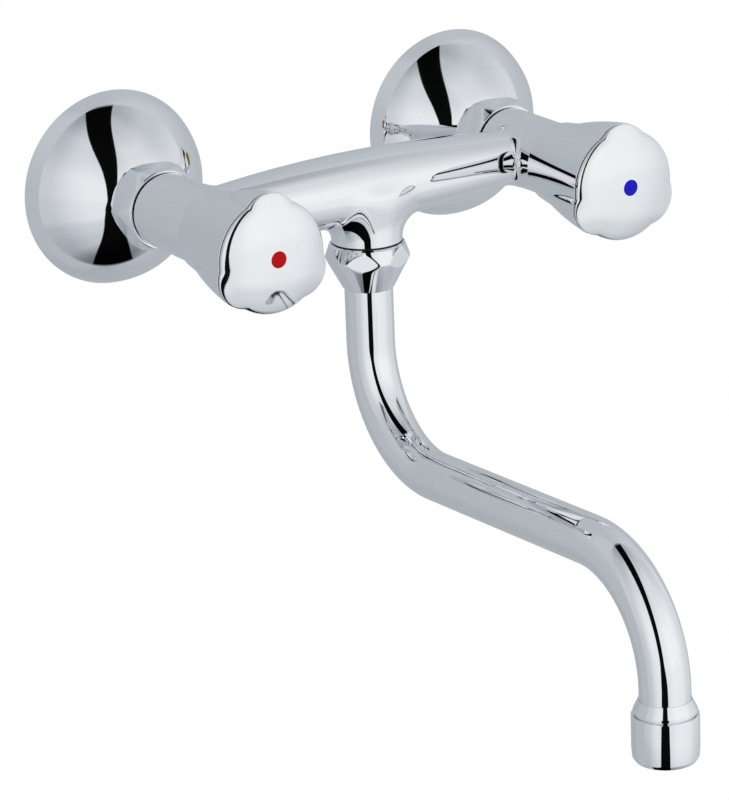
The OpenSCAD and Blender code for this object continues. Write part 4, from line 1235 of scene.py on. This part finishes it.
class TAP_OT_plates(bpy.types.Operator):
    """Builds the pressed wall plates: a steep rim, a dome and a short neck"""

    bl_idname = "tap.plates"
    bl_label = "Wall plates"

    def dome(self, s, foot_r):
        """Line of the dome from the rim in to the neck, with its normals.

        The slope off the wall is the cubic through four slopes at equal steps of the radius, and the
        height is the rim's height plus the running sum of the slope's tangent.
        """
        way = np.linspace(0, 1, 120)
        radius = foot_r + (s.neck_r + 0.3 - foot_r) * way
        slopes = (s.foot_slope, s.outer_slope, s.inner_slope, s.head_slope)
        slope = np.polyval(np.polyfit((0, 1 / 3, 2 / 3, 1), slopes, 3), way)
        rise = np.tan(slope)
        steps = (rise[1:] + rise[:-1]) / 2 * -np.diff(radius)
        along = s.rim_h + 0.35 + np.concatenate([[0], np.cumsum(steps)])
        points = np.stack([along, radius], axis=-1)
        normals = np.stack([np.cos(slope), np.sin(slope)], axis=-1)
        return points, normals

    def execute(self, context):
        s = sizes_of(context.scene.tap_plate)
        low, high = node_box("cold_wall_plate")
        rim = (high[2] - low[2]) / 2
        top = from_wall("cold_wall_plate")[1]
        foot_r = rim - s.rim_w
        skirt = bulged((0.5, rim - 0.02), (s.rim_h, foot_r), s.rim_bulge, 16)
        dome, dome_normals = self.dome(s, foot_r - 0.2)
        head = dome[-1, 0]
        outer = [(0.0, rim - 0.35, 0.3)] + skirt + [tuple(dome[0])]
        neck = [tuple(dome[-1]), (head + 0.3, s.neck_r, 0.4), (top - 0.4, s.neck_r, 0.3),
                (top, s.neck_r - 0.1, 0.3), (top, s.neck_bore_r), (head - s.wall, s.neck_bore_r, 0.3)]
        inside = [(a - s.wall / n[0], r) for (a, r), n in zip(dome[-9::-10], dome_normals[-9::-10])]
        inner = rim - s.wall
        foot = [(s.rim_h - 1.5, foot_r - 0.4, 0.5), (0.5, inner, 0.3), (0.0, inner, 0.1), (0.0, inner + 0.1)]
        first, first_normals = rounded(outer)
        last, last_normals = rounded(neck + inside + foot)
        points = np.vstack([first[:-1], dome, last[1:]])
        normals = np.vstack([first_normals[:-1], dome_normals, last_normals[1:]])
        chrome = material("tap_chrome")
        for side in SIDES:
            shell = turned(barrel_axis(side), points, normals, 300, closed=True)
            make_piece(side + "_plate", shell, chrome, "tap", [side + "_wall_plate"])
        return {"FINISHED"}


class TAP_OT_unions(bpy.types.Operator):
    """Builds the eccentric wall unions: threaded stub, collar, slanted middle and threaded mouth"""

    bl_idname = "tap.unions"
    bl_label = "Wall unions"

    def thread(self, axis, pitch, start, end, radius, bore):
        """A tube with a helical thread outside, rows 14 to a turn.

        With t the fraction of (distance / pitch - angle / full turn), the radius falls below the crest
        by the thread's depth times |2t - 1|, flattened a little at crest and root, and by all of the
        depth at both ends. The depth of a pipe thread is 0.6403 of its pitch.
        """
        angle = np.linspace(0, 2 * np.pi, 96, endpoint=False)
        along = np.linspace(start, end, int((end - start) / pitch * 14))
        wave = np.abs(((along[:, None] / pitch - angle / (2 * np.pi)) % 1) * 2 - 1)
        fade = np.clip(np.minimum(along - start, end - along) / (0.7 * pitch), 0, 1)[:, None]
        depth = 0.6403 * pitch
        root = radius - depth
        crest = np.clip(1.15 * (1 - wave), 0.05, 1) * fade
        rows = [(start, bore + 0.3), (start, root - 0.2)] + list(zip(along, root + depth * crest))
        rows += [(end, root - 0.2), (end, bore + 0.3), (end - 0.3, bore), (start + 0.3, bore)]
        return ring_rows(axis, angle, rows)

    def tube(self, axis, start, end, radius, bore, edges):
        """A plain tube with the roundings of its two outer edges."""
        corners = [(start, bore), (start, radius, edges[0]), (end, radius, edges[1]), (end, bore)]
        return turned(axis, *rounded(corners, closed=True), 96, closed=True)

    def union(self, s, side):
        """The four stretches of one union, each a closed ring, overlapping where they join."""
        back, front = from_wall(side + "_s_union")
        across = SIDES[side] * PITCH / 2
        stub = Axis((across, 0, 0), (0, -1, 0), (0, 0, 1))
        way = np.array([0.0, -s.pipe_run, AXIS_Z])
        run = float(np.linalg.norm(way))
        slanted = Axis((across, -s.pipe_start, 0), way / run, (1, 0, 0))
        return merge([self.thread(stub, s.pitch, back, s.stub_end, s.stub_r, s.stub_bore_r),
                      self.tube(stub, 0.5, s.collar_h, s.collar_r, s.stub_bore_r, (0.4, 0.6)),
                      self.tube(slanted, -0.5, run + 1.5, s.pipe_r, s.pipe_bore_r, (0.5, 0.5)),
                      self.thread(barrel_axis(side), s.pitch, s.mouth_start, front, s.mouth_r,
                                  s.mouth_bore_r)])

    def execute(self, context):
        sizes = sizes_of(context.scene.tap_union)
        brass = material("tap_brass_barrel")
        for side in SIDES:
            make_piece(side + "_union", self.union(sizes, side), brass, "tap", [side + "_s_union"])
        return {"FINISHED"}


class TAP_OT_nuts(bpy.types.Operator):
    """Builds the two union nuts and the spout nut: turned blanks with six flats"""

    bl_idname = "tap.nuts"
    bl_label = "Nuts"

    def union_nut(self, s, axis):
        """A hexagon whose corners are turned off in a cone at both ends."""
        back, front = from_wall("cold_union_nut")
        width = NUT_HIGH[2] - NUT_LOW[2]
        corner = width / 2 / math.cos(math.pi / 6) - s.corner_cut
        inside = front - 0.2
        corners = [(back, s.thread_r, 0.3), (back, width / 2 + 0.2, 0.4), (back + s.back_cone, corner, 0.8),
                   (front - s.front_cone, corner, 1.2), (front - 0.3, width / 2 - 0.02, 0.3),
                   (front, s.lip_r, 0.25), (front, s.seam_r, 0.1), (inside, s.seam_r - 0.15, 0.1),
                   (inside, s.hole_r, 0.1), (front - s.web, s.hole_r), (front - s.web, s.thread_r)]
        points, normals = refined(*rounded(corners, closed=True), 0.35)
        shell = turned(axis, points, normals, 360, closed=True, shape=flats(6, width, 0.0, s.edge_soft))
        # Painted shade: the seam inside the front lip and the hole behind it are marked for the near-black
        # colour.
        radius = np.hypot(np.abs(shell.points[:, 0]) - PITCH / 2, shell.points[:, 2] - AXIS_Z)
        return shell, ((radius < s.seam_r - 0.05) & (-shell.points[:, 1] > front - 1)).astype(float)

    def spout_nut(self, s):
        """A double cone with a ridge, where six flats leave almond shapes."""
        low, high = (v - AXIS_Z for v in span("spout_nut", 2))
        hole = s.tube_r + 0.15
        corners = [(low, hole + 0.2), (low + 0.4, hole + 0.5, 0.4),
                   (-s.nut_ridge_drop - 0.35, s.nut_ridge_r, 0.5),
                   (-s.nut_ridge_drop + 0.35, s.nut_ridge_r, 0.5),
                   (high - 0.95, s.nut_top_r, 0.25), (high - 0.35, s.nut_top_r - 0.7, 0.15),
                   (high - 0.4, s.nut_thread_r, 0.1), (-s.nut_web, s.nut_thread_r),
                   (-s.nut_web, hole), (low, hole, 0.1)]
        points, normals = refined(*rounded(corners, closed=True), 0.25)
        shape = flats(6, s.nut_flats, s.nut_turn, s.nut_flat_soft)
        shell = turned(spout_axis(), points, normals, 360, closed=True, shape=shape)
        # Painted shade: the thread inside the nut's top, beside the boss, is marked for the near-black
        # colour.
        radius = np.hypot(shell.points[:, 0], shell.points[:, 1] - SPOUT_Y)
        inside = (radius < s.nut_thread_r + 0.08) & (shell.points[:, 2] > AXIS_Z + high - 8)
        return shell, inside.astype(float)

    def execute(self, context):
        chrome = material("tap_chrome")
        for side in SIDES:
            nut, gap = self.union_nut(sizes_of(context.scene.tap_nut), barrel_axis(side))
            make_piece(side + "_hex_nut", nut, chrome, "tap", [side + "_union_nut"], gap)
        nut, gap = self.spout_nut(sizes_of(context.scene.tap_spout))
        make_piece("spout_cone_nut", nut, chrome, "tap", ["spout_nut"], gap)
        return {"FINISHED"}


def spout_path(s, top):
    """Reach and height along the tube's axis, with the heading: straight, bend, run, bend, straight."""
    step = 1.5
    bend = s.bend_r * s.bend_angle
    stretches = [(s.drop - top, 0), (bend, 1), (s.run, 0), (bend, -1), (s.tail, 0)]
    place = np.array([0.0, -top])
    heading = 0.0
    places, headings = [place.copy()], [heading]
    for distance, way in stretches:
        count = max(2, int(round(distance / step)))
        t = np.linspace(0, distance, count + 1)[1:]
        if way == 0:
            ahead = np.array([math.sin(heading), -math.cos(heading)])
            places += list(place + t[:, None] * ahead)
            headings += [heading] * count
            place = place + distance * ahead
        else:
            radius = way * s.bend_r
            angle = heading + t / radius
            centre = place + radius * np.array([math.cos(heading), math.sin(heading)])
            places += list(centre - radius * np.stack([np.cos(angle), np.sin(angle)], axis=-1))
            headings += list(angle)
            heading = angle[-1]
            place = places[-1]
    return np.array(places), np.array(headings)


def swept_rows(places, headings, radius, lean, columns):
    """Rows of a tube: circles square to the path, each with its radius.

    A normal lies in the circle's plane at lean 0 and points along the path at lean 1, backwards at -1.
    A negative radius turns the normals in.
    """
    angle = np.linspace(0, 2 * np.pi, columns, endpoint=False)[None, :, None]
    nought = 0 * headings
    over = np.stack([nought, -np.cos(headings), np.sin(headings)], axis=-1)[:, None]
    ahead = np.stack([nought, -np.sin(headings), -np.cos(headings)], axis=-1)[:, None]
    outward = np.cos(angle) * np.array([1.0, 0, 0]) + np.sin(angle) * over
    centre = np.stack([nought, SPOUT_Y - places[:, 0], AXIS_Z + places[:, 1]], axis=-1)[:, None]
    radius, lean = radius[:, None, None], lean[:, None, None]
    points = centre + np.abs(radius) * outward
    return points, unit(np.sign(radius) * outward * (1 - np.abs(lean)) + ahead * lean)


class TAP_OT_spout(bpy.types.Operator):
    """Builds the bent spout tube, the outlet's collar and the aerator housing"""

    bl_idname = "tap.spout"
    bl_label = "Spout"

    def tube(self, s):
        """Outer and inner skin of the tube, joined at both ends by a bevelled rim.

        The rows run down the outside and up the inside. At each end the outer skin's last row is moved
        along the path by the bevel, two rim rows take it off their radius, and the inner skin follows.
        """
        high = span("spout_tube", 2)[1] - AXIS_Z
        places, headings = spout_path(s, -high)
        last = len(places) - 1
        bevel = 0.15
        order = np.r_[0, 0, 1:last, last, last, last, last, last - 1:0:-1, 0, 0]
        radius = np.full(len(order), s.tube_r)
        radius[last + 3:] = s.wall - s.tube_r
        shift = np.zeros(len(order))
        lean = np.zeros(len(order))
        for row, way in ((0, -1), (last + 2, 1), (last + 3, 1), (len(order) - 1, -1)):
            lean[row] = way
            radius[row] -= bevel
        for row, way in ((1, 1), (last + 1, -1), (last + 4, -1), (len(order) - 2, 1)):
            shift[row] = way * bevel
        way = np.stack([np.sin(headings), -np.cos(headings)], axis=-1)[order]
        points, normals = swept_rows(places[order] + shift[:, None] * way, headings[order], radius, lean, 96)
        shell = Shell()
        shell.add(points.reshape(-1, 3), normals.reshape(-1, 3),
                  grid_faces(points.shape[0], points.shape[1], close_rows=True))
        return shell.faces_out()

    def collar(self, s):
        """The cone soldered on the tube's end, and the thread end inside the aerator."""
        low, high = (v - AXIS_Z for v in span("outlet_collar", 2))
        step = span("aerator_housing", 2)[1] - AXIS_Z + 0.4
        stop = low + 4.5
        inside = s.tube_r + 0.03
        corners = [(step, s.outlet_thread_r, 0.1), (step + 0.1, s.collar_r, 0.25),
                   (step + 1.2, s.collar_r - 0.1, 0.5), (high, s.tube_r + 0.25, 0.1), (high, inside, 0.08),
                   (stop, inside, 0.1), (stop, s.outlet_r), (low, s.outlet_r, 0.3),
                   (low, s.outlet_thread_r, 0.3)]
        return turned(outlet_axis(), *rounded(corners, closed=True), 144, closed=True)

    def housing(self, s):
        """A cap nut whose lower edge is rolled in towards the aerator."""
        low, high = (v - AXIS_Z for v in span("aerator_housing", 2))
        r = s.aerator_r
        thread_r = s.outlet_thread_r + 0.1
        floor, thread = low + 1.5, low + 11.0
        corners = [(low, r - 1.3, 0.6), (low + 1.6, r - 0.25, 0.9), (low + 5.0, r, 3.0),
                   (high - 1.0, r, 0.5), (high, r - 0.1, 0.35), (high, thread_r, 0.1),
                   (thread, thread_r, 0.1), (thread, s.aerator_bore_r, 0.1), (floor, s.aerator_bore_r, 0.1),
                   (floor, s.aerator_hole_r), (low, s.aerator_hole_r)]
        points, normals = refined(*rounded(corners, closed=True), 1.5)
        return turned(outlet_axis(), points, normals, 144, closed=True)

    def execute(self, context):
        s = sizes_of(context.scene.tap_spout)
        chrome = material("tap_chrome")
        make_piece("spout_bend", self.tube(s), chrome, "spout", ["spout_tube"])
        make_piece("spout_collar", self.collar(s), chrome, "spout", ["outlet_collar"])
        make_piece("spout_aerator", self.housing(s), chrome, "spout", ["aerator_housing"])
        return {"FINISHED"}


# The tent's curves: places from 0 to 1 with a brightness or, for the slit, a share of its half width.
# ROUND_TONES runs round the tent from behind over the hot side, past the slit at 0.5 and on over the
# cold side, and HEIGHT_TONES from the lowest point to the highest. The BACK pair does the same behind
# the wall plane.
ROUND_TONES = [(0.0, 0.6), (0.34, 0.61), (0.44, 0.84), (0.54, 0.82), (0.6, 0.91), (0.67, 0.89), (0.8, 0.71),
               (1.0, 0.65)]
HEIGHT_TONES = [(0.0, 0.25), (0.08, 0.66), (0.21, 0.77), (0.3, 0.93), (0.43, 0.95), (0.51, 1.0), (0.63, 1.0),
                (0.9, 0.8), (1.0, 0.56)]
BACK_ROUND_TONES = [(0.0, 0.71), (0.14, 0.71), (0.21, 0.79), (0.83, 0.88), (0.96, 0.75), (1.0, 0.72)]
BACK_HEIGHT_TONES = [(0.0, 0.6), (0.5, 0.62), (0.85, 0.7), (1.0, 0.7)]
SLIT_WIDTHS = [(0.0, 1.0), (0.25, 1.0), (0.36, 0.9), (0.5, 0.6), (0.6, 0.62), (0.75, 0.68), (1.0, 0.9)]
TENT_MIDDLE = (0.0, -0.06, -0.06)


def new_cloth():
    """An empty material for the tent's cloth."""
    cloth = bpy.data.materials.new("tent_cloth")
    cloth.use_nodes = True
    cloth.node_tree.nodes.remove(cloth.node_tree.nodes["Principled BSDF"])
    return cloth


class TAP_OT_stage(bpy.types.Operator):
    """Sets the camera, the white surroundings, the light tent with its dark slit, and the floor"""

    bl_idname = "tap.stage"
    bl_label = "Stage"

    def camera(self, stage):
        """The camera from its angles, distance and aim."""
        turn, rise, roll = stage.azimuth, stage.elevation, stage.roll
        back = Vector((math.sin(turn) * math.cos(rise), -math.cos(turn) * math.cos(rise), math.sin(rise)))
        level = Vector((math.cos(turn), math.sin(turn), 0))
        upright = back.cross(level)
        right = level * math.cos(roll) + upright * math.sin(roll)
        up = upright * math.cos(roll) - level * math.sin(roll)
        aim = Vector((stage.aim_x, stage.aim_y, stage.aim_z + AXIS_Z))
        data = bpy.data.cameras.new("photo_camera")
        data.sensor_fit = "VERTICAL"
        data.sensor_height = 36.0
        data.lens = stage.lens
        data.clip_end = 100.0
        camera = bpy.data.objects.new("photo_camera", data)
        place = (aim + back * stage.distance) * MM
        camera.matrix_world = Matrix.Translation(place) @ Matrix((right, up, back)).transposed().to_4x4()
        bpy.context.scene.collection.objects.link(camera)
        bpy.context.scene.camera = camera

    def world(self):
        """White all round for the camera and in gloss, and an even pale light on everything else."""
        world = bpy.data.worlds.new("studio")
        bpy.context.scene.world = world
        world.use_nodes = True
        tree = world.node_tree
        background = tree.nodes["Background"]
        background.inputs["Color"].default_value = (0.85, 0.85, 0.85, 1)
        background.inputs["Strength"].default_value = 1.0
        white = tree.nodes.new("ShaderNodeBackground")
        white.inputs["Color"].default_value = (1, 1, 1, 1)
        mix = tree.nodes.new("ShaderNodeMixShader")
        rays = tree.nodes.new("ShaderNodeLightPath")
        seen = math_node(tree, "MAXIMUM", rays.outputs["Is Camera Ray"], rays.outputs["Is Glossy Ray"])
        seen = math_node(tree, "MAXIMUM", seen, rays.outputs["Is Transmission Ray"])
        tree.links.new(seen, mix.inputs["Fac"])
        tree.links.new(background.outputs[0], mix.inputs[1])
        tree.links.new(white.outputs[0], mix.inputs[2])
        tree.links.new(mix.outputs[0], tree.nodes["World Output"].inputs["Surface"])

    def ramp(self, tree, value, stops, cool=0.0):
        """A curve of values over a number from 0 to 1, eased between stops; cool tints the darker greys."""
        node = tree.nodes.new("ShaderNodeValToRGB")
        curve = node.color_ramp
        curve.interpolation = "EASE"
        for place, _ in stops[1:-1]:
            curve.elements.new(place)
        for element, (_, tone) in zip(curve.elements, stops):
            tint = cool * (1 - tone)
            element.color = (tone * (1 - tint), tone, tone * (1 + tint), 1)
        tree.links.new(value, node.inputs["Fac"])
        return node.outputs["Color"]

    def tent(self, stage):
        """The white cloth round the tap that its plating mirrors, with the dark slit for the camera.

        The cloth is a sphere about the tap. Its brightness is a curve over the turn from the slit times
        a curve over the height, one pair in front of the wall plane and one behind. In front it is
        black where the way across the slit's plane is shorter than the slit's half width there.
        """
        mesh = bpy.data.meshes.new("tent")
        form = bmesh.new()
        bmesh.ops.create_uvsphere(form, u_segments=64, v_segments=32, radius=stage.tent_r * MM)
        bmesh.ops.translate(form, verts=form.verts, vec=TENT_MIDDLE)
        bmesh.ops.reverse_faces(form, faces=form.faces)
        form.to_mesh(mesh)
        form.free()
        mesh.shade_smooth()
        cloth = new_cloth()
        tree = cloth.node_tree
        middle = tree.nodes.new("ShaderNodeVectorMath")
        middle.operation = "SUBTRACT"
        middle.inputs[1].default_value = TENT_MIDDLE
        tree.links.new(tree.nodes.new("ShaderNodeTexCoord").outputs["Object"], middle.inputs[0])
        way = tree.nodes.new("ShaderNodeVectorMath")
        way.operation = "NORMALIZE"
        tree.links.new(middle.outputs[0], way.inputs[0])
        turn = stage.slit_turn
        across, ahead = (self.part(tree, way.outputs[0], axis) for axis in
                         ((math.cos(turn), math.sin(turn), 0), (math.sin(turn), -math.cos(turn), 0)))
        height = map_range(tree, self.part(tree, way.outputs[0], (0, 0, 1)), -1.0, 1.0, 0.0, 1.0)
        angle = math_node(tree, "ARCTAN2", across, ahead)
        angle = map_range(tree, angle, -math.pi, math.pi, 0.0, 1.0)
        behind = map_range(tree, self.part(tree, way.outputs[0], (0, 1, 0)), 0.09, 0.14, 0.0, 1.0)
        front, back = (mixed(tree, 1.0, self.ramp(tree, angle, round_tones, 0.1),
                             self.ramp(tree, height, height_tones, 0.1), "MULTIPLY")
                       for round_tones, height_tones in ((ROUND_TONES, HEIGHT_TONES),
                                                         (BACK_ROUND_TONES, BACK_HEIGHT_TONES)))
        tone = mixed(tree, behind, front, back)
        width = math_node(tree, "MULTIPLY", self.ramp(tree, height, SLIT_WIDTHS), stage.slit_w)
        beside = math_node(tree, "SUBTRACT", math_node(tree, "ABSOLUTE", across), width)
        open_slit = map_range(tree, beside, -0.006, 0.006, 0.004, 1.0)
        open_slit = math_node(tree, "MAXIMUM", open_slit, behind)
        light = tree.nodes.new("ShaderNodeEmission")
        tree.links.new(tone, light.inputs["Color"])
        tree.links.new(math_node(tree, "MULTIPLY", open_slit, stage.tent_light), light.inputs["Strength"])
        tree.links.new(light.outputs[0], tree.nodes["Material Output"].inputs["Surface"])
        mesh.materials.append(cloth)
        tent = self.backdrop("tent", mesh)
        tent.visible_camera = False
        tent.visible_diffuse = False
        tent.visible_shadow = False

    def part(self, tree, direction, axis):
        """How far a direction runs along an axis."""
        node = tree.nodes.new("ShaderNodeVectorMath")
        node.operation = "DOT_PRODUCT"
        node.inputs[1].default_value = axis
        tree.links.new(direction, node.inputs[0])
        return node.outputs["Value"]

    def backdrop(self, name, mesh):
        """Links a mesh that belongs to the studio and not to the tap."""
        thing = bpy.data.objects.new(name, mesh)
        bpy.context.scene.collection.objects.link(thing)
        return thing

    def floor(self, stage):
        """A round pale floor below the tap, which takes its shadow."""
        mesh = bpy.data.meshes.new("floor")
        form = bmesh.new()
        bmesh.ops.create_circle(form, cap_ends=True, segments=96, radius=stage.floor_r * MM)
        bmesh.ops.translate(form, verts=form.verts, vec=(0, -0.15, -stage.floor_drop * MM))
        form.to_mesh(mesh)
        form.free()
        paint = bpy.data.materials.new("studio_floor")
        paint.use_nodes = True
        shader = paint.node_tree.nodes["Principled BSDF"]
        shader.inputs["Base Color"].default_value = (0.86, 0.86, 0.86, 1)
        shader.inputs["Roughness"].default_value = 0.9
        mesh.materials.append(paint)
        self.backdrop("floor", mesh).visible_glossy = False

    def execute(self, context):
        stage = sizes_of(context.scene.tap_stage)
        scene = context.scene
        scene.view_settings.view_transform = "Standard"
        self.camera(stage)
        self.world()
        self.tent(stage)
        self.floor(stage)
        return {"FINISHED"}


class TAP_PT_panel(bpy.types.Panel):
    """Lists the steps that build the tap, in order"""

    bl_idname = "TAP_PT_panel"
    bl_label = "Kitchen tap"
    bl_space_type = "VIEW_3D"
    bl_region_type = "UI"
    bl_category = "Tap"

    def draw(self, context):
        for operator in OPERATORS:
            self.layout.operator(operator.bl_idname)


OPERATORS = (TAP_OT_materials, TAP_OT_body, TAP_OT_knobs, TAP_OT_plates, TAP_OT_unions, TAP_OT_nuts,
             TAP_OT_spout, TAP_OT_stage)


def register():
    """Registers the classes and hangs the sizes on the scene."""
    for cls in (*GROUPS.values(), *OPERATORS, TAP_PT_panel):
        bpy.utils.register_class(cls)
    for name, group in GROUPS.items():
        setattr(bpy.types.Scene, name, bpy.props.PointerProperty(type=group))


def unregister():
    """Takes the sizes off the scene and the classes out of the register."""
    for name in GROUPS:
        delattr(bpy.types.Scene, name)
    for cls in reversed((*GROUPS.values(), *OPERATORS, TAP_PT_panel)):
        bpy.utils.unregister_class(cls)


def main():
    """Builds the tap step by step."""
    register()
    for operator in OPERATORS:
        area, step = operator.bl_idname.split(".")
        getattr(getattr(bpy.ops, area), step)()


if __name__ == "__main__":
    main()
